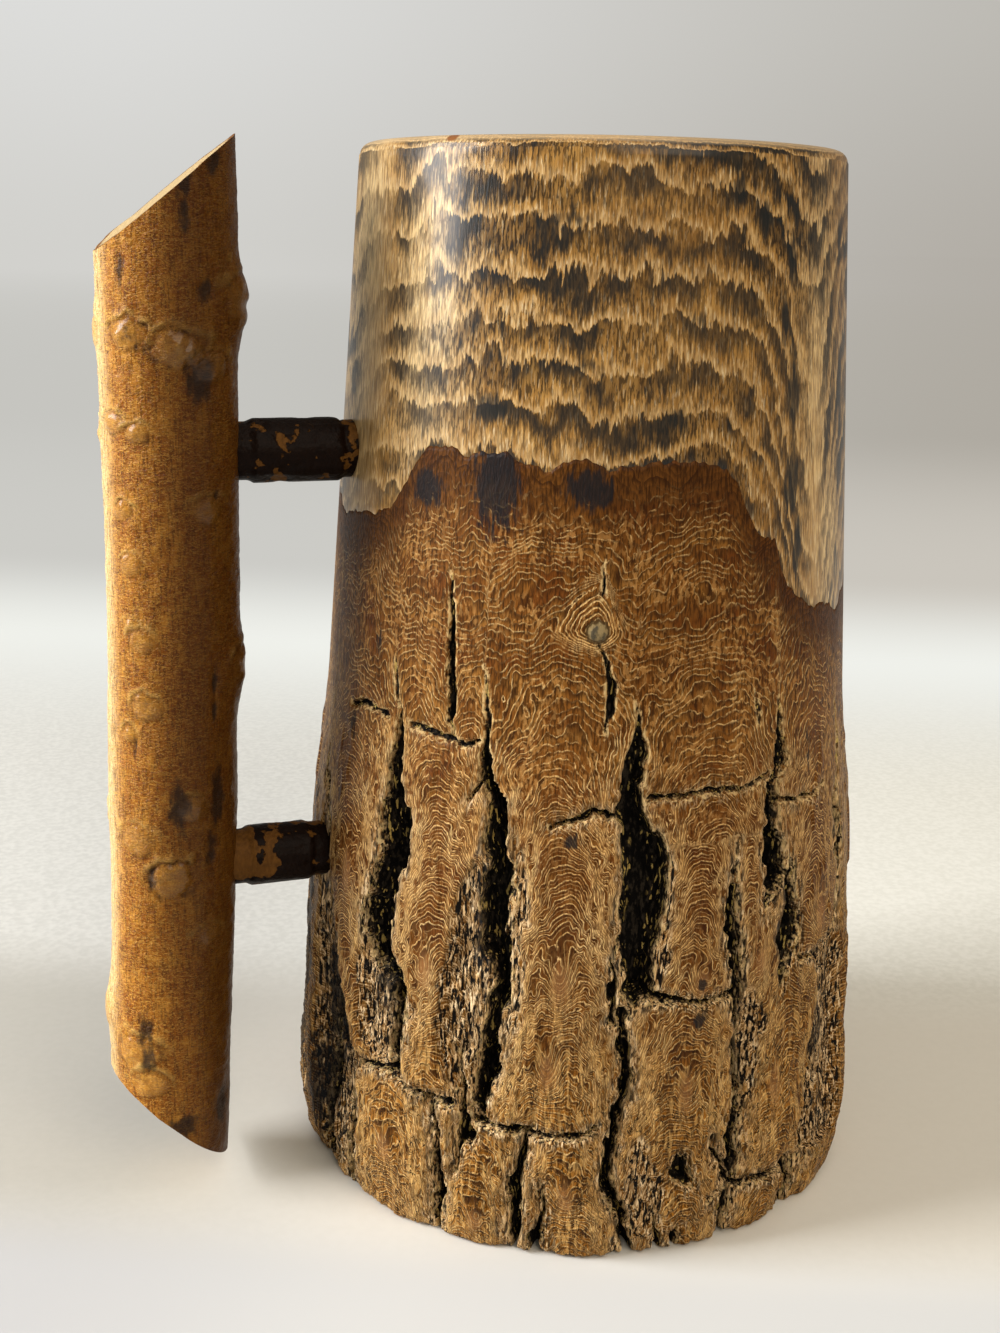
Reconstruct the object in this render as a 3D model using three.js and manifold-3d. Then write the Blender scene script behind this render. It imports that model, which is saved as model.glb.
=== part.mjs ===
// A rustic beer stein turned from a short log. The cup is bored from the wood of the log; the bark is
// left on its foot and runs out to nothing at a wavy line two thirds of the way up. A peeled branch with
// both ends cut on the slant is the handle, held off the cup by two whittled pegs.
//
// Millimetres, +Z up. The origin is the centre of the foot, on the surface the stein stands on. The handle
// is on -X. "Round" angles are degrees round the cup from the handle, anticlockwise seen from above.
import * as THREE from "three";
import { mergeVertices } from "three/addons/utils/BufferGeometryUtils.js";
import Module from "manifold-3d";

const wasm = await Module();
wasm.setup();

// The cup's turned outside
const CUP_HEIGHT = 240;
const RIM_RADIUS = 54.5;
const TAPER_DEG = 3.7;
const RIM_ROUND = 2.6;
const LIP_ROUND = 1.6;
// How far the bark swells past the straight taper, and between which heights it starts to
const BARK_SWELL = 1.9;
const SWELL_TOP = 122;
const SWELL_FULL = 82;
// How far the foot draws in again, and how high up that begins
const FOOT_TUCK = 3.6;
const FOOT_TUCK_HEIGHT = 22;
const FOOT_ROUND = 1.2;

// The cup's bore
const BORE_RADIUS = 44;
const BORE_DRAFT = 1.5;
const FLOOR_THICKNESS = 26;
const BORE_FILLET = 7;

// The bark: its thickness along its top edge, the gap to the wood that it grew on, and the least bark left
// at the bottom of a fissure
const BARK_EDGE = 0.9;
const JOINT_GAP = 0.3;
const BARK_WEB = 1.2;

// The plates of bark crown a little towards the foot: how far, up to what height, how many crowns there
// are round the log, and how much height a crown takes to lean over by one radian of its wave
const PLATE_CROWN = 0.9;
const PLATE_CROWN_TOP = 118;
const PLATE_CROWNS = 18;
const CROWN_LEAN = 23;

// The handle: a branch, by the heights of its two slanting ends at its axis
const HANDLE_RADIUS = 14.4;
const HANDLE_TAPER = 0.35;
const HANDLE_BOTTOM = 17;
const HANDLE_LENGTH = 211;
const HANDLE_BOW = 1.1;
const TOP_BEVEL_DEG = 40;
const BOTTOM_BEVEL_DEG = 42;

// The pegs: heights, the clear finger gap between the cup and the handle at each, and their shoulders
const LOWER_PEG_HEIGHT = 79;
const PEG_SPACING = 95;
const LOWER_GAP = 20;
const UPPER_GAP = 25.5;
const PEG_RADIUS = 7.1;
const TENON_RADIUS = 6.4;
const SHOULDER_CHAMFER = 2.2;
const SHOULDER_INSET = 1.6;
const SOCKET_IN_CUP = 8.5;
const SOCKET_IN_HANDLE = 15;
const PEG_CLEARANCE = 0.3;

// Facets
const COLUMNS = 90;
const HANDLE_COLUMNS = 28;
const HANDLE_RING_STEP = 6.5;
const PEG_SIDES = 24;
const OUTSIDE_RINGS = 5;
const BARK_RINGS = 11;
// How much longer than the finished handle the branch is before its two saw cuts, at each end, and how
// large a block each saw cut takes away
const BRANCH_SPARE = 20;
const SAW_WASTE = 90;

// A fissure's width at its bottom as a share of its width at the surface, how far its cutter stands out of
// the surface, the most that the cutter widens there, and the height at which one that runs out through
// the foot ends
const FISSURE_NARROWING = 0.45;
const REACH = 4;
const BELOW = -3;
const STEEPEST_FLARE = 2.2;

// The top edge of the bark: [round, height]
const BARK_LINE = [
  [0, 163], [15, 163], [24, 169], [31, 177], [40, 176], [50, 179], [60, 176], [75, 176], [86, 178],
  [95, 174], [101, 164], [108, 160], [112, 151], [120, 143], [135, 142], [150, 151], [168, 163],
  [190, 173], [212, 169], [232, 175], [250, 166], [266, 152], [280, 149], [296, 158], [312, 171],
  [330, 174], [346, 167],
];

// Fissures down the bark: [round, height, half width towards the handle, half width away, depth]
const FISSURES = [
  [[25.5, 134, 0.3, 0.3, 1], [26.4, 119, 0.8, 0.8, 2.5], [27.2, 107, 2.1, 2.1, 5], [28, 91, 3.9, 4, 7],
    [26.2, 72, 5, 4.4, 8.5], [26.6, 56, 6, 5, 9.5], [29, 42, 5, 2.6, 8], [30, 35, 0.8, 0.8, 4]],
  [[38.5, 159, 0.3, 0.3, 0.8], [39.6, 138, 0.8, 0.8, 2.4], [40.2, 117, 0.4, 0.4, 2.5]],
  [[47.6, 134, 0.3, 0.3, 1], [48.9, 119, 0.9, 0.9, 3], [50.6, 104, 2.4, 2.6, 6], [52, 84, 3.4, 2.8, 8],
    [52.6, 64, 6.4, 2.3, 9], [52.4, 46, 6.4, 1.8, 9], [50.6, 33, 1, 0.8, 5]],
  [[69.4, 139, 0.3, 0.3, 1], [72.3, 130, 0.9, 0.9, 2.6], [71.8, 119, 0.4, 0.4, 2]],
  [[76.8, 128, 0.4, 0.4, 1.6], [77.4, 116, 1.7, 1.6, 4], [77.8, 101, 3, 4, 6.5], [79.2, 85, 4, 5.2, 8.5],
    [77.6, 69, 2.8, 3.6, 8.5], [76.2, 50, 1.6, 2, 8.5], [75.4, 30, 2, 2, 9], [75.2, 17, 3.4, 2.6, 9],
    [78.8, 6, 1.3, 1.3, 8], [79.4, BELOW, 1.6, 1.6, 8]],
  [[98.5, 98, 0.3, 0.3, 1], [97.7, 82, 1, 1, 5], [98, 69, 1.6, 1.8, 8], [99.4, 57, 1.4, 2, 9],
    [100.8, 42, 1.4, 5.5, 9.5], [101, 27, 1.8, 2.6, 9], [100.4, 12, 1.8, 1.8, 8.5],
    [100.2, BELOW, 1.8, 1.8, 8]],
  [[110.2, 127, 0.4, 0.4, 1.4], [111, 116, 1.6, 1.9, 4], [108.6, 103, 2, 2.6, 6], [108.2, 91, 2.4, 3, 7.5],
    [106.9, 78, 1.2, 1, 4]],
  [[113, 90, 0.6, 0.6, 3], [112.8, 77, 2.6, 2.8, 8], [112.8, 66, 3, 3.8, 8.5], [113, 59, 1, 1, 4]],
  [[126, 63, 1, 1, 4], [128.2, 51, 2.4, 4, 9], [126, 35, 1.6, 2.4, 8], [121.4, 20, 2.6, 2.6, 9],
    [117, 8, 2, 2.2, 8.5], [117, BELOW, 2.2, 2.2, 8]],
  [[134.6, 121, 0.5, 0.5, 2], [133.4, 99, 2, 2.8, 6.5], [135.2, 78, 2.2, 2, 8], [137, 58, 1, 1, 5]],
  [[45.6, 45, 0.6, 0.6, 3], [47, 31, 1.6, 1.3, 8], [46, 20, 0.6, 0.6, 4]],
  [[41.2, 31, 0.6, 0.6, 4], [41.8, 15, 4.4, 1.2, 8], [42.2, BELOW, 3, 1.2, 8]],
  [[58.9, 29, 0.6, 0.6, 4], [58.2, 14, 3, 1.2, 8], [57.8, BELOW, 2.4, 1.2, 8]],
  [[63, 18, 0.4, 0.4, 2], [63.9, 8, 1.1, 1.1, 6], [61.8, BELOW, 1.6, 1.6, 6]],
  [[95.9, 28, 0.5, 0.5, 3], [98, 20, 1.2, 1.2, 7], [100.2, 12, 1, 1, 7]],
  [[-4, 112, 0.4, 0.4, 1.4], [1, 101, 1.4, 1.4, 5], [5.4, 90, 1, 1, 4]],
  [[4.5, 70, 1.4, 1.4, 5], [6.4, 57, 4, 2.6, 8.5], [8.6, 43, 6, 4.4, 9.5], [8.6, 26, 3.4, 3.4, 9],
    [8, 11, 1.8, 1.8, 8.5], [8, BELOW, 2, 2, 8]],
  [[15.8, 38, 0.8, 0.8, 4], [18.6, 24, 2.6, 1, 8], [18.4, 9, 1.8, 1, 8], [17.6, BELOW, 1.6, 1, 8]],
];
// Cracks across the plates: [round, height, half width down, half width up, depth]
const CROSS_CRACKS = [
  [[10.5, 118.5, 0.3, 0.3, 1], [18, 119.5, 0.5, 0.5, 2], [24.5, 119, 0.3, 0.3, 1.5]],
  [[31, 117.5, 0.3, 0.3, 1], [38, 118, 0.5, 0.5, 2.2], [44, 116.5, 0.3, 0.3, 1]],
  [[61.5, 101.5, 0.3, 0.3, 1.5], [68.5, 104, 0.5, 0.5, 3], [74.5, 103, 0.3, 0.3, 3]],
  [[80, 107.5, 0.3, 0.3, 2], [93, 107.5, 0.4, 0.4, 2], [107, 109.5, 0.3, 0.3, 2]],
  [[80.5, 61.5, 0.4, 0.4, 4], [86, 62.5, 0.5, 0.5, 4], [92.5, 60.5, 0.5, 0.5, 4], [99.5, 61, 0.4, 0.4, 4]],
  [[20.5, 33.5, 0.4, 0.4, 4], [29, 36.5, 0.6, 0.6, 4], [36.5, 34, 0.5, 0.5, 4], [44.5, 35, 0.4, 0.4, 4]],
  [[50.5, 32, 0.4, 0.4, 4], [57, 29.5, 0.5, 0.5, 4], [65, 31, 0.6, 0.6, 4], [73.5, 32.5, 0.4, 0.4, 4]],
  [[101, 13, 0.4, 0.4, 4], [108, 14, 0.8, 0.8, 4], [118, 12, 0.5, 0.5, 4]],
  [[109.5, 102.5, 0.3, 0.3, 2], [118, 101, 0.4, 0.4, 2], [127, 102, 0.3, 0.3, 1.5]],
  [[104, 57, 0.4, 0.4, 3], [113, 58, 0.5, 0.5, 4], [127, 61.5, 0.5, 0.5, 4]],
];
// Where the rest of the way round carries the same kind of fissures, evenly strewn
const STREWN_FROM = 149;
const STREWN_TO = 350;
const STREWN_COUNT = 9;

const TURN = 360;
const radians = THREE.MathUtils.degToRad;
const taper = Math.tan(radians(TAPER_DEG));

// A repeatable number from 0 to 1 for each pair of whole numbers
function scatter(i, j) {
  const s = Math.sin(i * 12.9898 + j * 78.233) * 43758.5453;
  return s - Math.floor(s);
}

// The turned outside of the stein, bark included, before any fissure
function turnedRadius(z) {
  const swell = BARK_SWELL * THREE.MathUtils.smoothstep(SWELL_TOP - z, 0, SWELL_TOP - SWELL_FULL);
  const tuck = FOOT_TUCK * Math.max(0, 1 - z / FOOT_TUCK_HEIGHT) ** 2;
  return RIM_RADIUS + taper * (CUP_HEIGHT - z) + swell - tuck;
}

// A smooth closed curve through [round, value] pairs
function roundCurve(pairs) {
  const n = pairs.length;
  return (round) => {
    const a = ((round % TURN) + TURN) % TURN;
    let i = n - 1;
    while (i > 0 && pairs[i][0] > a) i--;
    const from = pairs[i];
    const to = pairs[(i + 1) % n];
    const span = (to[0] - from[0] + TURN) % TURN;
    const t = ((a - from[0] + TURN) % TURN) / span;
    return THREE.MathUtils.lerp(from[1], to[1], t * t * (3 - 2 * t));
  };
}
const barkTop = roundCurve(BARK_LINE);

// The log's wood under the bark: not quite round, since the bark line wanders
function woodRadius(round) {
  return turnedRadius(barkTop(round)) - BARK_EDGE - JOINT_GAP;
}

// Fissures for the side that a strewn pattern covers
function strewnFissures() {
  const step = (STREWN_TO - STREWN_FROM) / STREWN_COUNT;
  const made = [];
  for (let k = 0; k < STREWN_COUNT; k++) {
    const round = STREWN_FROM + step * (k + 0.25 + 0.5 * scatter(k, 1));
    const top = 104 + 34 * scatter(k, 2);
    const wide = 2.6 + 2.2 * scatter(k, 3);
    const sway = 3 * (scatter(k, 4) - 0.5);
    made.push([
      [round + sway, top, 0.4, 0.4, 1.2],
      [round, top * 0.84, 0.35 * wide, 0.4 * wide, 4],
      [round - sway, top * 0.66, wide * 0.9, wide, 7.5],
      [round - sway * 0.4, top * 0.46, wide * 1.3, wide * 0.8, 9],
      [round + sway, top * 0.24, wide * 0.6, wide * 0.9, 9],
      [round + sway * 1.4, 10, 1.6, 1.8, 8.5],
      [round + sway * 1.4, BELOW, 2, 2, 8],
    ]);
  }
  return made;
}

// Cracks across the strewn plates
function strewnCracks() {
  const step = (STREWN_TO - STREWN_FROM) / STREWN_COUNT;
  const made = [];
  for (let k = 0; k < STREWN_COUNT; k++) {
    const round = STREWN_FROM + step * (k + 0.5);
    const height = 26 + 64 * scatter(k, 5);
    made.push([
      [round - step * 0.45, height, 0.4, 0.4, 3],
      [round, height + 2, 0.6, 0.6, 4],
      [round + step * 0.45, height, 0.4, 0.4, 3],
    ]);
  }
  return made;
}

// A point on the stein: degrees round from the handle, height, radius
function onCup(round, z, radius) {
  const a = radians(180 + round);
  return new THREE.Vector3(radius * Math.cos(a), radius * Math.sin(a), z);
}

// Joins rings of as many points each into a closed skin. Rings run up the shape, anticlockwise from above.
function skin(rings, ends) {
  const n = rings[0].length;
  const positions = rings.flat().flatMap((p) => [p.x, p.y, p.z]);
  const index = [];
  const last = ends === "joined" ? rings.length : rings.length - 1;
  for (let r = 0; r < last; r++) {
    const low = r * n;
    const high = ((r + 1) % rings.length) * n;
    for (let c = 0; c < n; c++) {
      const d = (c + 1) % n;
      index.push(low + c, low + d, high + d, low + c, high + d, high + c);
    }
  }
  if (ends === "capped") {
    const top = (rings.length - 1) * n;
    for (let c = 1; c < n - 1; c++) {
      index.push(0, c + 1, c);
      index.push(top, top + c, top + c + 1);
    }
  }
  const geometry = new THREE.BufferGeometry();
  geometry.setAttribute("position", new THREE.Float32BufferAttribute(positions, 3));
  geometry.setIndex(index);
  return geometry;
}

function solidOf(geometry) {
  const bare = geometry.clone();
  bare.deleteAttribute("normal");
  bare.deleteAttribute("uv");
  const merged = mergeVertices(bare, 1e-4);
  const vertProperties = merged.attributes.position.array;
  const triVerts = new Uint32Array(merged.index.array);
  return new wasm.Manifold(new wasm.Mesh({ numProp: 3, vertProperties, triVerts }));
}

function geometryOf(solid) {
  const { vertProperties, triVerts } = solid.getMesh();
  const geometry = new THREE.BufferGeometry();
  geometry.setAttribute("position", new THREE.Float32BufferAttribute(vertProperties, 3));
  geometry.setIndex(Array.from(triVerts));
  const flat = geometry.toNonIndexed();
  flat.computeVertexNormals();
  return flat;
}

// Turns a profile that changes as it goes round the axis into a solid. profileAt gives [radius, height]
// pairs for an angle, anticlockwise in the radius and height plane. Points on the axis close it.
function turnedSolid(profileAt, columns) {
  const rounds = Array.from({ length: columns }, (_, c) => (c * TURN) / columns);
  const profiles = rounds.map(profileAt);
  const rings = profiles[0].map((_, r) => rounds.map((round, c) => {
    const [radius, z] = profiles[c][r];
    return onCup(round, z, radius);
  }));
  return solidOf(skin(rings, "joined"));
}

// A round-over from one direction to the next, as [radius, height] points
function roundOver(centreRadius, centreHeight, size, fromDeg, toDeg, steps) {
  return Array.from({ length: steps + 1 }, (_, i) => {
    const a = radians(THREE.MathUtils.lerp(fromDeg, toDeg, i / steps));
    return [centreRadius + size * Math.cos(a), centreHeight + size * Math.sin(a)];
  });
}

// A wedge that cuts one fissure: its path lies on the turned surface, and each section is as wide there as
// the table says, narrowing to the bottom of the cut.
function fissureCutter(path) {
  const sections = path.map(([round, z, left, right, depth], i) => {
    const before = path[Math.max(0, i - 1)];
    const after = path[Math.min(path.length - 1, i + 1)];
    const surface = turnedRadius(z);
    const along = new THREE.Vector2(radians(after[0] - before[0]) * surface, after[1] - before[1]);
    along.normalize();
    const flare = Math.min(1 + ((1 - FISSURE_NARROWING) * REACH) / depth, STEEPEST_FLARE);
    const out = onCup(round, 0, 1);
    const east = new THREE.Vector3(-out.y, out.x, 0);
    const corner = (across, outwards) => onCup(round, z, surface)
      .addScaledVector(east, -along.y * across)
      .addScaledVector(new THREE.Vector3(0, 0, 1), along.x * across)
      .addScaledVector(out, outwards);
    return [
      corner(-left * FISSURE_NARROWING, -depth),
      corner(right * FISSURE_NARROWING, -depth),
      corner(right * flare, REACH),
      corner(-left * flare, REACH),
    ];
  });
  return solidOf(skin(sections, "capped"));
}

function pegHeight(which) {
  return which === "upper" ? LOWER_PEG_HEIGHT + PEG_SPACING : LOWER_PEG_HEIGHT;
}
function fingerGap(which) {
  return which === "upper" ? UPPER_GAP : LOWER_GAP;
}
// How far from the cup's axis the handle's axis stands at a height: a straight line through what the
// pegs hold, with a slight bow
function handleOffset(z) {
  const [low, high] = ["lower", "upper"].map((which) => {
    const h = pegHeight(which);
    return turnedRadius(h) + fingerGap(which) + HANDLE_RADIUS;
  });
  const t = (z - LOWER_PEG_HEIGHT) / PEG_SPACING;
  return THREE.MathUtils.lerp(low, high, t) + HANDLE_BOW * t * (t - 1);
}

// A peg's seat: a round blind hole on the peg's axis, from one distance off the cup's axis to another
function socketCutter(which, from, to) {
  const radius = TENON_RADIUS + PEG_CLEARANCE;
  const hole = new THREE.CylinderGeometry(radius, radius, to - from, PEG_SIDES);
  hole.rotateZ(Math.PI / 2);
  hole.translate(-(from + to) / 2, 0, pegHeight(which));
  return solidOf(hole);
}
function cupSocketEnd(which) {
  const wood = which === "upper" ? turnedRadius(pegHeight(which)) : woodRadius(0);
  return wood - SOCKET_IN_CUP;
}
function handleSocketEnd(which) {
  return handleOffset(pegHeight(which)) - HANDLE_RADIUS + SOCKET_IN_HANDLE;
}
function cupSocket(which) {
  return socketCutter(which, cupSocketEnd(which), handleOffset(pegHeight(which)));
}
function handleSocket(which) {
  return socketCutter(which, cupSocketEnd(which), handleSocketEnd(which));
}

// The wood: foot, the shoulder under the bark's edge, turned outside, rim and bore
function makeCup() {
  const profileAt = (round) => {
    const shoulder = barkTop(round) + JOINT_GAP;
    const under = woodRadius(round);
    const rimCentre = turnedRadius(CUP_HEIGHT) - RIM_ROUND;
    const mouth = BORE_RADIUS + BORE_DRAFT;
    const outside = Array.from({ length: OUTSIDE_RINGS + 1 }, (_, i) => {
      const z = THREE.MathUtils.lerp(shoulder, CUP_HEIGHT - RIM_ROUND, i / OUTSIDE_RINGS);
      return [turnedRadius(z), z];
    });
    return [
      [0, 0],
      [under, 0],
      [under, shoulder],
      ...outside,
      ...roundOver(rimCentre, CUP_HEIGHT - RIM_ROUND, RIM_ROUND, 20, 90, 3),
      ...roundOver(mouth + LIP_ROUND, CUP_HEIGHT - LIP_ROUND, LIP_ROUND, 90, 180, 2),
      ...roundOver(BORE_RADIUS - BORE_FILLET, FLOOR_THICKNESS + BORE_FILLET, BORE_FILLET, 0, -90, 4),
      [0, FLOOR_THICKNESS],
    ];
  };
  return turnedSolid(profileAt, COLUMNS).subtract(cupSocket("upper")).subtract(cupSocket("lower"));
}

// The bark: a ring round the wood, crowned a little between its fissures towards the foot, with every
// fissure and crack cut into it as deep as it goes, but never through to the wood
function makeBark() {
  const shares = Array.from({ length: BARK_RINGS }, (_, i) => (i + 1) / BARK_RINGS);
  const paths = [...FISSURES, ...strewnFissures(), ...CROSS_CRACKS, ...strewnCracks()];
  const profileAt = (round) => {
    const top = barkTop(round);
    const inside = woodRadius(round) + JOINT_GAP;
    const crown = (z) => {
      const rough = 1 - THREE.MathUtils.smoothstep(z, 0, PLATE_CROWN_TOP);
      return PLATE_CROWN * rough * Math.cos(radians(round) * PLATE_CROWNS + z / CROWN_LEAN);
    };
    const outer = (z) => turnedRadius(z) + crown(z);
    return [
      [inside, 0],
      ...roundOver(outer(0) - FOOT_ROUND, FOOT_ROUND, FOOT_ROUND, -90, 0, 2),
      ...shares.map((share) => [outer(share * top), share * top]),
      [inside, top],
    ];
  };
  const keptAt = (round) => {
    const radius = woodRadius(round) + JOINT_GAP + BARK_WEB;
    return [[0, -CUP_HEIGHT], [radius, -CUP_HEIGHT], [radius, CUP_HEIGHT], [0, CUP_HEIGHT]];
  };
  const cutters = wasm.Manifold.union(paths.map(fissureCutter));
  const kept = turnedSolid(keptAt, COLUMNS);
  return turnedSolid(profileAt, COLUMNS).subtract(cutters.subtract(kept)).subtract(cupSocket("lower"));
}

// Knots on the handle: [height, degrees round the branch from its outer side, radius, how far it stands out]
const KNOTS = [
  [206, 172, 11, 2.2],
  [199.6, 47, 5, 1.2],
  [196.8, 90, 5.6, 1.3],
  [200, -6, 5.5, 0.8],
  [181, 34, 4.6, 0.9],
  [163.4, 116, 4.8, 0.5],
  [151.8, 45, 4.4, 0.7],
  [135.6, 52, 4.6, 0.8],
  [127, 172, 9, 1.4],
  [120, 57, 4.8, 0.9],
  [97, 96, 4.8, 0.7],
  [80.6, 80, 6.4, 1.3],
  [44.6, -4, 7, 1.3],
  [38, 50, 8, 1.2],
  [150, 250, 7, 1.5],
  [60, 290, 8, 1.6],
  [216, 300, 6, 1.2],
];

function branchRadius(z, round) {
  const base = HANDLE_RADIUS + HANDLE_TAPER * ((z - LOWER_PEG_HEIGHT) / PEG_SPACING - 0.5);
  return KNOTS.reduce((radius, [height, at, size, proud]) => {
    const aside = ((round - at + 1.5 * TURN) % TURN) - TURN / 2;
    const away = Math.hypot(radians(aside) * HANDLE_RADIUS, z - height) / size;
    return radius + proud * Math.exp(-away * away);
  }, base);
}

// The handle: the branch, then its two slanting saw cuts, then the pegs' sockets
function makeHandle() {
  const from = HANDLE_BOTTOM - BRANCH_SPARE;
  const to = HANDLE_BOTTOM + HANDLE_LENGTH + BRANCH_SPARE;
  const steps = Math.round((to - from) / HANDLE_RING_STEP);
  const rings = Array.from({ length: steps + 1 }, (_, i) => {
    const z = THREE.MathUtils.lerp(from, to, i / steps);
    return Array.from({ length: HANDLE_COLUMNS }, (_, c) => {
      const round = (c * TURN) / HANDLE_COLUMNS;
      return onCup(round, z, branchRadius(z, round)).add(new THREE.Vector3(-handleOffset(z), 0, 0));
    });
  });
  const sawCut = (height, tilt, side) => {
    const block = new THREE.BoxGeometry(SAW_WASTE, SAW_WASTE, SAW_WASTE);
    block.translate(0, 0, (side * SAW_WASTE) / 2);
    block.rotateY(radians(tilt));
    block.translate(-handleOffset(height), 0, height);
    return solidOf(block);
  };
  return solidOf(skin(rings, "capped"))
    .subtract(sawCut(HANDLE_BOTTOM + HANDLE_LENGTH, -TOP_BEVEL_DEG, 1))
    .subtract(sawCut(HANDLE_BOTTOM, BOTTOM_BEVEL_DEG, -1))
    .subtract(handleSocket("upper"))
    .subtract(handleSocket("lower"));
}

// A peg: a whittled rod whose shoulders step down, through a chamfer, to the tenons in its two sockets
function makePeg(which) {
  const h = pegHeight(which);
  const cupEnd = cupSocketEnd(which) + PEG_CLEARANCE;
  const handleEnd = handleSocketEnd(which) - PEG_CLEARANCE;
  const cupShoulder = turnedRadius(h) + SHOULDER_INSET;
  const handleShoulder = handleOffset(h) - HANDLE_RADIUS - SHOULDER_INSET;
  const profile = [
    [0, cupEnd],
    [TENON_RADIUS, cupEnd],
    [TENON_RADIUS, cupShoulder],
    [PEG_RADIUS, cupShoulder + SHOULDER_CHAMFER],
    [PEG_RADIUS, handleShoulder - SHOULDER_CHAMFER],
    [TENON_RADIUS, handleShoulder],
    [TENON_RADIUS, handleEnd],
    [0, handleEnd],
  ].map(([r, along]) => new THREE.Vector2(r, along));
  const peg = new THREE.LatheGeometry(profile, PEG_SIDES);
  peg.rotateZ(Math.PI / 2);
  peg.translate(0, 0, h);
  return solidOf(peg);
}

const finishes = {
  turnedWood: { color: 0xb98a50, roughness: 0.45, metalness: 0 },
  bark: { color: 0x7d5230, roughness: 0.6, metalness: 0 },
  branch: { color: 0xa8703a, roughness: 0.5, metalness: 0 },
  peg: { color: 0x33221a, roughness: 0.55, metalness: 0 },
};

function node(name, solid, finish) {
  const mesh = new THREE.Mesh(geometryOf(solid), new THREE.MeshStandardMaterial(finishes[finish]));
  mesh.name = name;
  return mesh;
}

const stein = new THREE.Group();
stein.name = "log_stein";
stein.add(node("turned_cup", makeCup(), "turnedWood"));
stein.add(node("bark_jacket", makeBark(), "bark"));
stein.add(node("branch_handle", makeHandle(), "branch"));
stein.add(node("upper_peg", makePeg("upper"), "peg"));
stein.add(node("lower_peg", makePeg("lower"), "peg"));

export default stein;
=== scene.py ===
import math

import bmesh
import bpy
import numpy as np
from mathutils import Matrix, Vector


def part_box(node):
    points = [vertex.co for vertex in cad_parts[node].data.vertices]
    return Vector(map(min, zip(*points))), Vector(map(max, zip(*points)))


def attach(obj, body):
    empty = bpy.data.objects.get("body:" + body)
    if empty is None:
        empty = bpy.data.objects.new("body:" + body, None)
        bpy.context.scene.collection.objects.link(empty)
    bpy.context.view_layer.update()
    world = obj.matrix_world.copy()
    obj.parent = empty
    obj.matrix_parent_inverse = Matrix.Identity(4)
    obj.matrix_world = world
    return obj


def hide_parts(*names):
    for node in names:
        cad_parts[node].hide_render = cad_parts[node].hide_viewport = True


# A rustic log stein: turned wood above, bark with deep fissures below, and a peeled branch for a handle.
# Sizes are millimetres unless a name says otherwise, and become metres where a mesh is made. "Round" is
# degrees round the cup from the handle, which is on -X, anticlockwise seen from above.

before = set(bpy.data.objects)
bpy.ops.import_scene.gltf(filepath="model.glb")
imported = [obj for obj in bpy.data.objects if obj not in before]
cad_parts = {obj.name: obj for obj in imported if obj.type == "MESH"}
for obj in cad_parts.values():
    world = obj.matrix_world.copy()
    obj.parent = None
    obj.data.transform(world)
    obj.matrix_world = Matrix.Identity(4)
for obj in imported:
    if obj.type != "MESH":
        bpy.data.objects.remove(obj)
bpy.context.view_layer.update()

METRE = 0.001
TURN = 360

# Farther, in mm, than any distance that counts
FAR = 60.0

# The turned outside of the cup
CUP_HEIGHT = 240
RIM_RADIUS = 54.5
TAPER = math.tan(math.radians(3.7))
BARK_SWELL = 1.9
SWELL_TOP = 122
SWELL_FULL = 82
FOOT_TUCK = 3.6
FOOT_TUCK_HEIGHT = 22
FOOT_ROUND = 1.2
RIM_ROUND = 2.6
LIP_ROUND = 1.6
BORE_RADIUS = 44
BORE_DRAFT = 1.5
FLOOR_THICKNESS = 26
BORE_FILLET = 7
BARK_EDGE = 1.2
WOOD_UNDER_BARK = 4
CLEARANCE = 0.3
BOX_MARGIN = 0.1
THINNEST_BARK = 0.15
PROUDEST_BARK = 0.35

# The handle and the pegs
HANDLE_RADIUS = 14.4
HANDLE_TAPER = 0.35
HANDLE_BOTTOM = 17
HANDLE_LENGTH = 211
HANDLE_BOW = 1.1
TOP_BEVEL_DEG = 40
BOTTOM_BEVEL_DEG = 42
TOP_CUT_TURN_DEG = 3
LOWER_PEG_HEIGHT = 79
PEG_SPACING = 95
LOWER_GAP = 20
UPPER_GAP = 25.5
PEG_RADIUS = 7.1
TENON_RADIUS = 6.4
SHOULDER_CHAMFER = 2.2
SHOULDER_INSET = 1.6
SHOULDER_CREST = 0.4
PEG_FACETS = 9
PEG_FACET_TURN_DEG = 40
PEG_FACET_DEPTH = 0.14

# The side that the camera sees gets closer columns of points, in degrees
SEEN_FROM = -22
SEEN_TO = 156
SEEN_STEP = 0.34
UNSEEN_STEP = 0.9
BARK_LOW_ROWS = 200
BARK_LOW_SHARE = 0.76
BARK_HIGH_ROWS = 44
CUP_ROWS = 46
HANDLE_SEEN_STEP = 2
HANDLE_UNSEEN_STEP = 5
HANDLE_ROWS = 430
PEG_STEP_DEG = 4
PEG_ROWS = 70
BORE_ROWS = 26
END_SHARES = (0, 0.25, 0.5, 0.75, 0.9, 0.985)
CRISP_DEG = 42
MERGE_METRES = 1e-6

# The radii of the shells on which the bark's top edge and the grain of the wood are drawn
LINE_SHELL = 60
GRAIN_SHELL = 58

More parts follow.
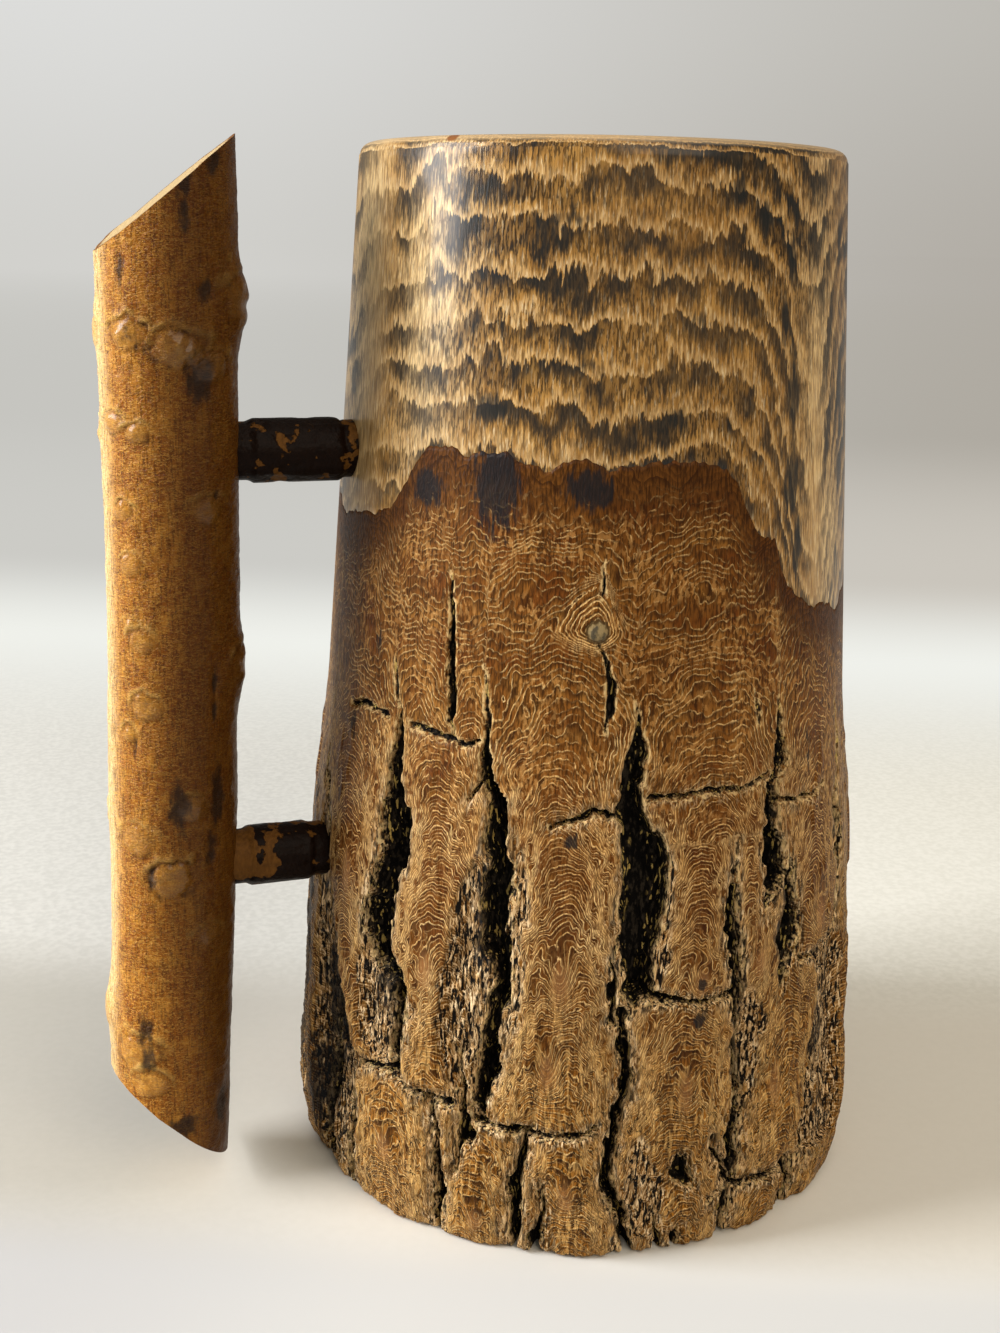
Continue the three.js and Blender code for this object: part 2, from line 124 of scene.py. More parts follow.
# The top edge of the bark: (round, height)
BARK_LINE = [
    (0, 160), (8, 161), (16, 162.5), (21, 163.5), (24, 167), (27, 172.5), (31, 178), (36, 178.6),
    (42, 177.4), (50, 178.4), (58, 175), (62, 176.4), (66, 177.3), (70, 175.3), (76, 176.2), (83, 178),
    (90, 177.8), (95, 175.5), (98, 172.7), (100, 167), (103, 162), (108, 160), (110, 154.5),
    (112, 150), (116, 147.3), (120, 144.5), (125, 143.4), (135, 141.6), (146, 147), (158, 158),
    (172, 168), (190, 173), (202, 170), (214, 169), (232, 175), (244, 170), (254, 162), (266, 152),
    (280, 149), (292, 156), (304, 166), (318, 173), (332, 173), (346, 165),
]

# Fissures, top to bottom: (height, one side, the other side, depth), with the sides in degrees round
FISSURES = [
    [(104, -0.8, -0.2, 1), (98, 0, 1.4, 3), (93, 3, 5, 4), (80, 5.5, 6.5, 4), (66, 6.6, 9, 6),
     (58, 7.5, 10.5, 8), (50, 9, 13, 8), (40, 10.5, 16, 9), (32, 15.5, 20, 9), (20, 17, 20, 9),
     (10, 17.6, 19.6, 9), (-2, 17.4, 19.4, 8)],
    [(47, 7.5, 8, 2), (42, 5.5, 9, 7), (30, 4.5, 10, 9), (15, 5, 9.5, 9), (-2, 5.5, 9, 8)],
    [(134, 25.4, 25.5, 0.8), (128, 24.9, 26, 2), (120, 27, 28.1, 4), (115, 26.6, 28.8, 5),
     (110, 25.2, 28.8, 6), (105, 25.2, 28.8, 7), (100, 25, 31.2, 8), (92, 24.3, 32, 9),
     (85, 23.7, 32.3, 9), (80, 22.3, 30.8, 9), (75, 21.4, 29.2, 9), (65, 20, 30.2, 9),
     (60, 21, 31.8, 9), (56, 27, 32.3, 9), (45, 28.8, 31.4, 9), (40, 27.6, 30.6, 8), (37, 30, 30.4, 4)],
    [(154, 38.9, 39, 0.6), (150, 38.9, 39.8, 2), (138, 39, 40.8, 4), (128, 39.3, 41.2, 4),
     (122, 39.8, 41, 3.4), (117.5, 40.1, 40.6, 2)],
    [(134, 47.4, 47.5, 0.6), (130, 47.7, 48.3, 1.5), (120, 48.3, 49.3, 3), (115, 47.6, 49.7, 4.5),
     (111, 47.4, 50.4, 6), (105, 49.6, 52.8, 8), (95, 48.8, 53.7, 9), (90, 49.2, 54.4, 9),
     (80, 48.5, 54.6, 9), (70, 49.8, 55, 9), (65, 52, 55.2, 9), (60, 51.5, 54.4, 9), (50, 50, 53, 9),
     (40, 48.5, 52.3, 9), (35, 49.4, 51.6, 7), (31.5, 50.4, 50.8, 3)],
    [(46, 45, 45.5, 2), (42.5, 45, 46.2, 5), (35, 46.1, 47.9, 8), (26.7, 46.8, 48.5, 8),
     (18, 45.4, 46, 4)],
    [(33, 40, 40.4, 3), (23, 40.6, 42.4, 8), (13, 40.8, 43, 9), (2, 40.2, 42, 8), (-2, 40, 42, 8)],
    [(31, 58.4, 59, 4), (25, 57.9, 59.7, 8), (18, 56.2, 59, 8), (5, 55.9, 58.3, 8), (-2, 56, 58.3, 8)],
    [(18, 62.5, 62.8, 2), (12, 62.8, 64, 5), (6, 61.7, 63.5, 6), (-2, 60, 62.3, 7)],
    [(139, 69.6, 69.8, 0.6), (136, 70.5, 71.4, 2), (132, 71.5, 73.3, 4), (127, 71.6, 73.3, 4),
     (121, 71.2, 71.7, 1.5)],
    [(128, 77.2, 77.3, 0.8), (124, 77.5, 78.5, 2.5), (120, 77, 79.6, 4), (115, 75.4, 79.6, 6),
     (110, 74.4, 79.2, 7), (105, 74.3, 79.6, 8), (100, 75.4, 82, 9), (95, 75.8, 83.7, 9),
     (85, 76, 84, 9), (80, 75.4, 84.3, 9), (75, 75.4, 82.5, 9), (70, 76, 82.2, 9), (65, 75.8, 81.6, 8),
     (61, 78, 79, 4)],
    [(72, 73.6, 74.2, 3), (64, 73.7, 75.3, 6), (57, 74.6, 75.4, 6)],
    [(61, 76, 77, 5), (50, 76.1, 77.9, 8), (40, 75.7, 77.7, 8), (30, 74.3, 76.3, 8), (20, 73.3, 75.9, 8),
     (15, 74.5, 77, 8), (10, 77.5, 79.9, 8), (4, 77.5, 79.5, 8), (-2, 77.5, 79.5, 8)],
    [(129, 103.4, 103.6, 0.8), (124, 103.9, 104.9, 2.4), (120.6, 104.5, 104.9, 1)],
    [(126, 109.8, 110, 1), (120, 109.5, 110.9, 3), (115, 109.1, 112.4, 5), (110, 109.1, 112.9, 7),
     (107, 106.6, 110.4, 8), (100, 106.4, 109.8, 8), (95, 106.2, 111, 9), (90, 105.6, 112.2, 9),
     (85, 105.6, 111, 9), (80, 105.4, 107, 7), (77, 105.8, 106.2, 3)],
    [(90, 113.1, 113.5, 2), (87, 112, 114.2, 5), (80, 111, 115, 8), (75, 110.4, 116.4, 9),
     (70, 110, 117.3, 9), (65, 110.2, 115.2, 9), (60, 111, 113, 5), (58, 112, 112.4, 3)],
    [(97, 98.6, 98.8, 1), (90, 97.8, 98.6, 4), (85, 97.3, 98.7, 6), (80, 96.8, 99, 8), (70, 97.4, 100.3, 9),
     (60, 99, 101.2, 9), (50, 99.6, 102, 9), (40, 100.2, 103, 9), (30, 100.2, 102.6, 9),
     (20, 99, 101.2, 9), (10, 99, 101, 9), (-2, 98.6, 100.7, 8)],
    [(27.5, 95.4, 95.8, 3), (24, 95.6, 97, 6), (19, 96.8, 98.4, 7), (15, 98.4, 99.6, 7)],
    [(24, 88.6, 89, 2), (21, 88, 90.4, 6), (17.5, 88.4, 91, 6), (15.5, 90, 91.5, 3)],
    [(119, 134, 134.6, 1), (112, 135, 136.4, 3), (104, 134.5, 136, 4), (98, 132, 135, 6),
     (92, 131.6, 136, 8), (85, 132, 135.6, 8), (80, 133, 136.4, 8), (72, 134, 137.4, 8),
     (66, 135, 137, 6), (62, 136, 136.5, 3)],
    [(64, 123.4, 124, 2), (60, 124, 128, 6), (54, 125, 131, 8), (48, 125, 131, 8), (42, 124.4, 128.6, 8),
     (34, 123.6, 127, 7), (28, 121, 125, 7), (23, 118.8, 121.5, 8), (17, 119.4, 123.3, 9),
     (13, 121, 123.4, 7), (9, 122, 123, 4)],
    [(13.5, 114.6, 118.4, 5), (9, 115, 118, 8), (4, 115.6, 118, 8), (-2, 115.5, 118, 8)],
    [(8, 84, 84.6, 3), (4, 83.8, 85.2, 5), (-2, 83.6, 85, 5)],
    [(7, 88.2, 88.8, 3), (3, 88, 89.6, 5), (-2, 88, 89.4, 5)],
    [(157.5, 70.3, 70.5, 0.5), (154, 70, 70.9, 1.3), (149.5, 70.2, 70.9, 1.1)],
]

# The fissures that part the plates, which the layers of growth arch between: (fissure, up to which height)
SEAMS = [(k, CUP_HEIGHT) for k in (0, 2, 3, 4, 10, 14, 19)]
SEAMS += [(16, 97), (12, 61), (20, 62), (6, 34), (7, 31), (21, 14)]

# Cracks across the plates, each in order round: (round, height, half width)
CRACKS = [
    [(9.8, 118, 0.2), (15, 119, 0.6), (24, 118.6, 0.6)],
    [(30, 118.4, 0.3), (36, 117.8, 0.6), (40, 117.2, 0.5), (44, 116.6, 0.4), (47, 117.6, 0.2)],
    [(45.4, 105, 0.2), (47, 107.8, 0.6), (49, 112, 0.8)],
    [(61.7, 101.2, 0.15), (64.6, 102.5, 0.4), (70, 104.3, 0.55), (74.4, 103.5, 0.5)],
    [(80.2, 107.9, 0.3), (87.5, 107.5, 0.3), (95.2, 107.9, 0.35), (100.6, 107.3, 0.3), (107.5, 109.2, 0.4)],
    [(109.5, 102.5, 0.4), (116.8, 101.2, 0.35), (120, 101.7, 0.25), (127, 102.4, 0.1)],
    [(20.6, 34, 0.4), (25, 35.4, 0.6), (30, 36.5, 0.7), (35, 34.5, 0.6), (45, 34.5, 0.5)],
    [(48.8, 31.3, 0.4), (56.5, 30.4, 0.8), (64.6, 30.8, 0.7), (72.3, 32.3, 0.4)],
    [(78, 62.6, 0.4), (81.8, 63, 0.7), (87.5, 62, 0.6), (91.4, 60.7, 0.5), (99, 60.8, 0.4)],
    [(94.5, 11.7, 0.4), (98.3, 13.7, 0.4)],
    [(101, 13.4, 0.5), (105, 13.7, 0.7), (114.5, 13.3, 0.9), (118.4, 12.2, 0.6)],
    [(117, 64, 0.3), (120.2, 63.3, 0.5), (124, 61.7, 0.6)],
    [(69.6, 139.6, 0.2), (71, 138.4, 0.35), (72, 136, 0.3)],
]
CRACK_DEPTH = 3.2

# Floors of flaked bark beside the openings, with rows like those of the fissures
SHELVES = [
    [(66, 19, 24, 2), (58, 19.5, 29, 4.5), (46, 20.5, 30, 4), (38, 24, 29, 2)],
    [(92, 46, 49.5, 1), (84, 44, 50, 2.6), (66, 42, 52, 3.4), (48, 41, 50, 3.4), (38, 44, 49, 2)],
    [(62, 102, 104, 1.5), (54, 101, 106, 3), (40, 101, 106, 3), (32, 101, 104, 1.5)],
    [(66, 124, 134, 1.5), (54, 124, 140, 4), (34, 122, 140, 4), (12, 121, 138, 3)],
    [(88, 0, 5, 1), (60, 2, 12, 2.5), (44, 1, 17, 4), (24, 2, 17, 4), (4, 4, 16, 2)],
    [(106, 79, 81, 0.8), (90, 83, 86, 2), (70, 82, 85, 2), (62, 80, 84, 1)],
    [(30, 79, 82, 1), (18, 78, 86, 2.4), (4, 79, 84, 2)],
    [(102, 54, 56, 0.8), (84, 54, 58.4, 1.4), (62, 54.6, 58.6, 1.4), (46, 53, 56, 1)],
    [(66, 30, 33, 1), (54, 31, 35, 1.6), (42, 31, 34, 1)],
]

# The unseen side: evenly strewn fissures of the same kind. The ranges are those from which one is picked
# for each: its top, its width, how far it sways, and the heights of its side fissure and of two cracks.
STREWN_TOP = (86, 138)
STREWN_WIDE = (1.5, 4.7)
STREWN_SWAY = (-3, 3)
STREWN_SIDE_TOP = (22, 48)
STREWN_LOW_CRACK = (24, 74)
STREWN_HIGH_CRACK = (62, 98)
STREWN_FROM = 149
STREWN_TO = 350
STREWN_COUNT = 9
STREWN_STEP = (STREWN_TO - STREWN_FROM) / STREWN_COUNT

# A degree round the bark, in mm
MM_PER_DEGREE = 1.17

# Ovals where a plate's layers lie flat: (round, height, half height, half width, layers)
EYES = [
    (64.8, 67, 8, 3.2, 6), (62.9, 45.8, 7, 2.8, 5), (50, 6.7, 5, 3, 4), (91.6, 65.5, 5, 3, 5),
    (104.8, 67, 6, 2.6, 4), (38, 64, 8, 3, 4), (89, 40, 9, 3, 4), (110, 36, 9, 3, 4), (30, 18, 7, 3, 4),
    (67, 16, 7, 3, 4), (15, 80, 9, 3, 4), (124, 72, 8, 4, 5),
]

# Dark marks on the bark: (round, height, half height, half width, strength)
# The long marks at rounds -16 and -6, on the side that faces the handle, are painted shade.
BARK_STAINS = [
    (32, 170, 5, 5, 1), (48, 172, 12, 6.6, 1), (67, 171.5, 4.6, 7, 1), (-16, 55, 75, 9, 1),
    (8, 42, 26, 8, 0.9), (-6, 60, 50, 5, 0.9), (3, 18, 20, 6, 0.8), (26, 60, 16, 5, 0.7),
    (50, 78, 26, 4, 0.7), (80, 84, 24, 4, 0.7), (112, 72, 14, 5, 0.8), (128, 46, 18, 7, 0.8),
    (101, 50, 20, 3, 0.6), (20, 134, 5, 1.8, 0.7), (12, 113, 5, 2.4, 0.6), (120, 112, 10, 2, 0.5),
    (66, 98, 2.2, 2.4, 0.8), (91.6, 65.3, 1.6, 1.5, 1), (91, 57, 2.2, 2, 0.9),
]

# The knot in the turned bark: its place, its core, how far the layers that close round it reach towards
# the handle, away from it, up and down, how many they are, how pointed they are (1 is a diamond, 2 an oval),
# and a degree round the bark at its height, in mm
KNOT_ROUND = 69.5
KNOT_HEIGHT = 142.7
KNOT_CORE = 2.3
KNOT_REACH = (9, 5, 10.5, 4.2)
KNOT_LAYERS = 8
KNOT_POINT = 1.35
KNOT_MM_PER_DEGREE = 1.053

# The bark's layers of growth, and the steps that flaked bark breaks into
LAYER = 1.7
STEP = 0.6

# Heights over which the bark stops being rough, worn, swaying and split into arched plates
ROUGH_ENDS = (34, 84)
WORN_ENDS = (92, 126)
SWAY_ENDS = (95, 135)
PLATES_END = (92, 144)

# How far a fissure's wall, its flaked flank and the worn rim of a crack reach, and the groove round the knot
WALL_REACH = 0.7
FLANK_REACH = 2.4
CRACK_REACH = 1.4
KNOT_GROOVE = 0.4


# Repeatable smooth noise on points in space

def lattice(cell, seed):
    x, y, z = (cell[..., k] for k in range(3))
    h = (x * 73856093) ^ (y * 19349663) ^ (z * 83492791) ^ (seed * 26544357)
    h = ((h ^ (h >> 13)) * 1274126177) & 0x7FFFFFFF
    h = ((h ^ (h >> 15)) * 668265263) & 0x7FFFFFFF
    return (h ^ (h >> 16)) / 0x7FFFFFFF


def noise(points, size, seed):
    """Smooth noise from -1 to 1. size is its grain in each direction."""
    q = points / np.asarray(size, float)
    cell = np.floor(q).astype(np.int64)
    f = q - cell
    w = f * f * (3 - 2 * f)
    total = np.zeros(points.shape[:-1])
    for corner in np.ndindex(2, 2, 2):
        share = np.ones(points.shape[:-1])
        for k in range(3):
            share = share * (w[..., k] if corner[k] else 1 - w[..., k])
        total += share * lattice(cell + np.array(corner), seed)
    return total * 2 - 1


def rough_noise(points, size, seed, octaves=3):
    size = np.asarray(size, float)
    total = sum(noise(points, size / 2**k, seed + k) / 2**k for k in range(octaves))
    return total / sum(1 / 2**k for k in range(octaves))


def smooth(low, high, value):
    """0 below low, 1 above high, and a smooth rise between."""
    t = np.clip((value - low) / (high - low), 0, 1)
    return t * t * (3 - 2 * t)


def up_to(ends, value):
    """1 below a range, 0 above it, and a smooth fall between."""
    return 1 - smooth(*ends, value)


def scatter(i, j):
    """A repeatable share from 0 to 1 for a pair of whole numbers."""
    s = math.sin(i * 12.9898 + j * 78.233) * 43758.5453
    return s - math.floor(s)


def picked(ends, i, j):
    """A repeatable number from a range for a pair of whole numbers."""
    return ends[0] + (ends[1] - ends[0]) * scatter(i, j)


def terraced(value):
    """The value in steps, as flaked bark breaks."""
    whole = np.floor(value / STEP)
    return STEP * (whole + smooth(0.55, 1, value / STEP - whole))


def bell(x, power=2):
    """1 where x is 0, and smoothly down to nothing on both sides."""
    return np.exp(-(x**power))


def ridge(x, place):
    """1 along a line at a distance, and down to nothing over a width on both sides."""
    at, wide = place
    return bell((x - at) / wide)


def fading(distance, reach):
    """1 up to the distance 0, and less and less beyond it."""
    return np.exp(-np.maximum(distance, 0) / reach)


# The stein's form

def turned_radius(z):
    swell = BARK_SWELL * smooth(0, SWELL_TOP - SWELL_FULL, SWELL_TOP - z)
    tuck = FOOT_TUCK * np.maximum(0, 1 - z / FOOT_TUCK_HEIGHT) ** 2
    return RIM_RADIUS + TAPER * (CUP_HEIGHT - z) + swell - tuck


def on_cup(rounds, z, radius):
    """Points round the Z axis, from the handle's side."""
    a = np.radians(180 + rounds)
    return np.stack([radius * np.cos(a), radius * np.sin(a), z + 0 * a], -1)


def columns(seen_step, unseen_step):
    seen = np.arange(SEEN_FROM, SEEN_TO, seen_step)
    unseen = np.arange(SEEN_TO, SEEN_FROM + TURN, unseen_step)
    return np.concatenate([seen, unseen])


def bark_top(rounds):
    at, height = np.array(BARK_LINE).T
    line = np.interp(rounds % TURN, np.append(at, TURN), np.append(height, height[0]))
    points = on_cup(rounds, 0 * rounds, LINE_SHELL)
    return line + 0.9 * noise(points, 3.2, 5) + 0.6 * noise(points, 1.1, 6)


def apart(rounds, other):
    """Degrees from other to rounds, from -180 to 180."""
    return (rounds - other + TURN / 2) % TURN - TURN / 2


def off_oval(across, up, tall, wide):
    """The squared distance from the middle of an oval, counted in its own half width and half height."""
    return (across / wide) ** 2 + (up / tall) ** 2


def spots(rounds, z, places, mm_per_degree=MM_PER_DEGREE):
    """How strongly each point lies in any of a list of soft-edged ovals."""
    found = np.zeros(z.shape)
    for at, height, tall, wide, strength in places:
        off = off_oval(apart(rounds, at) * mm_per_degree, z - height, tall, wide)
        found = np.maximum(found, strength * np.exp(-off))
    return found


def strewn_at(k):
    return STREWN_FROM + STREWN_STEP * (k + 0.25 + 0.5 * scatter(k, 1))


def strewn_fissures():
    made = []
    for k in range(STREWN_COUNT):
        at = strewn_at(k)
        top = picked(STREWN_TOP, k, 2)
        wide = picked(STREWN_WIDE, k, 3)
        sway = picked(STREWN_SWAY, k, 4)
        rows = [
            (top, sway, 0.3, 0.3, 1), (top * 0.84, 0, 0.35 * wide, 0.4 * wide, 5),
            (top * 0.66, -sway, wide * 0.9, wide, 8), (top * 0.46, -sway * 0.4, wide * 1.3, wide * 0.8, 9),
            (top * 0.24, sway, wide * 0.6, wide * 0.9, 9), (10, sway * 1.4, 1.6, 1.8, 9),
            (-2, sway * 1.4, 1.8, 1.8, 8),
        ]
        made.append([
            (z, at + shift - left / MM_PER_DEGREE, at + shift + right / MM_PER_DEGREE, depth)
            for z, shift, left, right, depth in rows
        ])
        side = at + STREWN_STEP * (0.3 + 0.3 * scatter(k, 6))
        low = picked(STREWN_SIDE_TOP, k, 7)
        made.append([
            (low, side, side + 0.4, 3), (low * 0.7, side - 0.6, side + 1.2, 8),
            (low * 0.3, side + 0.2, side + 2, 8), (-2, side, side + 1.8, 8),
        ])
    return made


def strewn_cracks():
    """Each runs from one strewn fissure to the next."""
    made = []
    for k in range(STREWN_COUNT - 1):
        start, end = strewn_at(k), strewn_at(k + 1)
        for height in (picked(STREWN_LOW_CRACK, k, 5), picked(STREWN_HIGH_CRACK, k, 8)):
            made.append([(start, height, 0.4), ((start + end) / 2, height + 2, 0.6), (end, height - 1, 0.3)])
    return made


def sides(path, rounds, z):
    """A path's rows from the bottom up, and how far in mm each point lies short of it and past it."""
    rows = np.array(sorted(path))
    middle = (rows[0, 1] + rows[0, 2]) / 2
    here = apart(rounds, middle) + middle
    near, far = (np.interp(z, rows[:, 0], rows[:, k]) for k in (1, 2))
    return rows, (near - here) * MM_PER_DEGREE, (here - far) * MM_PER_DEGREE


def with_round_ends(aside, beyond):
    """The distance to a strip, from how far a point lies aside of it and beyond its ends."""
    return np.where(beyond > 0, np.hypot(np.maximum(aside, 0), beyond), aside)


def opening(path, rounds, z):
    """How far in mm each point lies outside an opening, negative inside it, and how deep it is there."""
    rows, short, past = sides(path, rounds, z)
    beyond = np.maximum(rows[0, 0] - z, z - rows[-1, 0])
    return with_round_ends(np.maximum(short, past), beyond), np.interp(z, rows[:, 0], rows[:, 3])


def crack(path, rounds, z):
    """How far in mm each point lies outside a crack across the plates."""
    at, height, half = np.array(path).T
    here = apart(rounds, at[0]) + at[0]
    aside = np.abs(z - np.interp(here, at, height)) - np.interp(here, at, half)
    return with_round_ends(aside, np.maximum(at[0] - here, here - at[-1]) * MM_PER_DEGREE)


# The bark's relief and what its finish needs to know

def openings(aside, up):
    """The distance to the nearest fissure, its depth, and how deep the flaked floors lie."""
    edge = np.full(up.shape, FAR)
    depth = np.zeros(up.shape)
    for path in FISSURES + strewn_fissures():
        outside, deep = opening(path, aside, up)
        depth = np.where(outside < edge, deep, depth)
        edge = np.minimum(edge, outside)
    shelf = np.zeros(up.shape)
    for path in SHELVES:
        outside, deep = opening(path, aside, up)
        shelf = np.maximum(shelf, deep * (1 - smooth(-2.5, 1.5, outside)))
    return edge, depth, shelf


def across_plate(rounds, z):
    """Where each point lies across its plate, from -1 to 1, and half the plate's width in mm."""
    left = np.full(z.shape, FAR)
    right = np.full(z.shape, FAR)
    seams = [(FISSURES[k], top) for k, top in SEAMS]
    seams += [(path, CUP_HEIGHT) for path in strewn_fissures()[::2]]
    for path, highest in seams:
        rows, short, past = sides(path, rounds, z)
        counts = (z > rows[0, 0]) & (z < highest)
        left = np.where(counts & (past > 0), np.minimum(left, past), left)
        right = np.where(counts & (short > 0), np.minimum(right, short), right)
    return (left - right) / (left + right), (left + right) / 2


def near_knot(rounds, z, spot):
    """How far each point is from the knot, in mm and as a share of its reach."""
    over = apart(rounds, KNOT_ROUND) * KNOT_MM_PER_DEGREE
    up = z - KNOT_HEIGHT
    left, right, above, below = KNOT_REACH
    over_share = np.abs(over) / np.where(over < 0, left, right)
    up_share = np.abs(up) / np.where(up > 0, above, below)
    reach = (over_share**KNOT_POINT + up_share**KNOT_POINT) ** (1 / KNOT_POINT)
    return np.hypot(over, up), reach + 0.05 * noise(spot, 1.6, 35)


def growth(rounds, z, spot, aside, reach):
    """The layers of growth, counted up the log, how many lie in a millimetre, and the middles of the eyes.
    The layers arch over each plate and close round its eyes and the knot."""
    plate = up_to(PLATES_END, z)
    share, half = across_plate(aside + 0.4 * noise(spot, (2, 2, 4), 34), z)
    arch = (2 + 14 * plate) * np.clip(half / 8, 0.6, 1.6) * share**2
    bent = z + (5 - 4 * plate) * noise(spot, (6, 6, 11), 31)
    bent += (1.9 - 1.4 * plate) * noise(spot, (2.6, 2.6, 4.6), 32)
    bent += (0.7 - 0.45 * plate) * noise(spot, (0.9, 0.9, 1.5), 33)
    phase = (bent + arch) / LAYER
    eye = np.zeros(z.shape)
    for at, height, tall, wide, layers in EYES:
        off = off_oval(apart(rounds, at) * MM_PER_DEGREE, z - height, tall, wide)
        phase += layers * np.exp(-off)
        eye = np.maximum(eye, bell(3 * off))
    calm = 1 - smooth(0.85, 1.25, reach)
    phase = phase * (1 - calm) + (KNOT_HEIGHT / LAYER + KNOT_LAYERS * (1 - reach)) * calm
    across = np.gradient(phase, axis=1) / (np.gradient(rounds, axis=1) * MM_PER_DEGREE)
    along = np.gradient(phase, axis=0) / np.gradient(z, axis=0)
    return phase, np.clip(np.hypot(across, along), 0.25, 2.2), eye


def bark_fields(rounds, z, top):
    """How far the bark stands out or in at each point, and what its finish needs to know."""
    spot = on_cup(rounds, z, turned_radius(z))
    calm = 0.35 + 0.65 * up_to(SWAY_ENDS, z)
    sway = noise(spot, (7, 7, 9), 11) + 0.85 * noise(spot, (2.8, 2.8, 4), 12)
    sway += noise(spot, (1.2, 1.2, 2.2), 13)
    aside = rounds + sway * calm / MM_PER_DEGREE
    up = z + calm * (1.2 * noise(spot, 5, 14) + 0.6 * noise(spot, 1.8, 15))
    edge, depth, shelf = openings(aside, up)

    gap = np.full(z.shape, FAR)
    bent = z + 0.8 * noise(spot, 3, 16) + 0.45 * noise(spot, 1, 17)
    for path in CRACKS + strewn_cracks():
        gap = np.minimum(gap, crack(path, rounds, bent))

    rough = up_to(ROUGH_ENDS, z + 9 * noise(spot, 24, 18))
    worn = up_to(WORN_ENDS, z + 7 * noise(spot, 16, 19))
    from_knot, reach = near_knot(rounds, z, spot)
    phase, grade, eye = growth(rounds, z, spot, aside, reach)

    wall = 1 - fading(-edge, WALL_REACH)
    relief = -depth * wall * (0.82 + 0.18 * rough_noise(spot, (3, 3, 9), 21))
    beside = fading(edge, FLANK_REACH)
    near_foot = 0.45 + 0.55 * smooth(0, 16, z)
    flank = (0.5 + 2.0 * rough) * worn * near_foot * beside
    flaked = terraced(flank + 0.35 * noise(spot, (1.6, 1.6, 6), 22) * worn)
    relief -= np.where(edge > 0, flaked, flank)
    fibres = np.maximum(0, noise(spot, (1, 1, 4.5), 26)) + 0.6 * np.maximum(0, noise(spot, (0.8, 0.8, 2), 27))
    relief -= 0.75 * worn * (0.35 + 0.65 * rough) * beside * fibres
    flakes = np.maximum(0, rough_noise(spot, (1.8, 1.8, 6), 23))
    relief -= terraced(shelf * (0.75 + 0.7 * flakes))

    slit = np.maximum(0, 1 - np.maximum(gap + 0.15, 0) / 0.55)
    relief -= CRACK_DEPTH * (0.35 + 0.65 * worn) * slit
    relief -= 0.6 * worn * fading(gap, CRACK_REACH)
    relief += rough * (0.9 * noise(spot, (7, 7, 12), 24) + 0.4 * rough_noise(spot, (2.2, 2.2, 5), 25) - 0.4)
    relief += 0.3 * rough * rough_noise(spot, (1.2, 1.2, 6), 29)
    relief += (0.05 + 0.2 * rough) * (phase - np.floor(phase) - 0.5)
    relief -= KNOT_GROOVE * ridge(from_knot, (KNOT_CORE, KNOT_GROOVE))
    return np.minimum(relief, PROUDEST_BARK), {
        "edge": np.minimum(edge, gap - 0.3), "shelf": shelf, "rough": rough,
        "phase": phase, "grade": grade, "eye": eye,
        "knot": 1 - smooth(KNOT_CORE - 0.3, KNOT_CORE + 0.3, from_knot),
        "halo": 1 - smooth(0.85, 1.3, reach),
        "below_line": top - z,
        "stain": spots(rounds, z, BARK_STAINS),
    }


# Things in the scene, and meshes from rings of points

def linked(name, data):
    thing = bpy.data.objects.new(name, data)
    bpy.context.scene.collection.objects.link(thing)
    return thing


def ring_mesh(name, rings, fields, material, crisp_deg=None):
    """A closed mesh from rings of points, [ring, column, xyz], each joined to the next. Points in the same
    place are merged, which closes its ends."""
    count, around = rings.shape[:2]
    low = np.arange(count - 1)[:, None] * around
    here = np.arange(around)[None, :]
    beside = (here + 1) % around
    quads = np.stack([low + here, low + beside, low + around + beside, low + around + here], -1)
    mesh = bpy.data.meshes.new(name)
    mesh.from_pydata((rings * METRE).reshape(-1, 3), [], quads.reshape(-1, 4))
    for key, values in fields.items():
        attribute = mesh.attributes.new(key, "FLOAT", "POINT")
        attribute.data.foreach_set("value", values.reshape(-1).astype(np.float32))
    work = bmesh.new()
    work.from_mesh(mesh)
    bmesh.ops.remove_doubles(work, verts=work.verts, dist=MERGE_METRES)
    work.to_mesh(mesh)
    work.free()
    mesh.polygons.foreach_set("use_smooth", np.ones(len(mesh.polygons), bool))
    if crisp_deg:
        mesh.set_sharp_from_angle(angle=math.radians(crisp_deg))
    mesh.materials.append(material)
    return linked(name, mesh)


def dress(piece, node):
    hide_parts(node)
    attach(piece, "root")


# Finishes

def colour(text):
    """A linear colour from one written as the eye sees it, such as "8a5a30"."""
    parts = [int(text[k:k + 2], 16) / 255 for k in (0, 2, 4)]
    return [c / 12.92 if c <= 0.04045 else ((c + 0.055) / 1.055) ** 2.4 for c in parts] + [1.0]


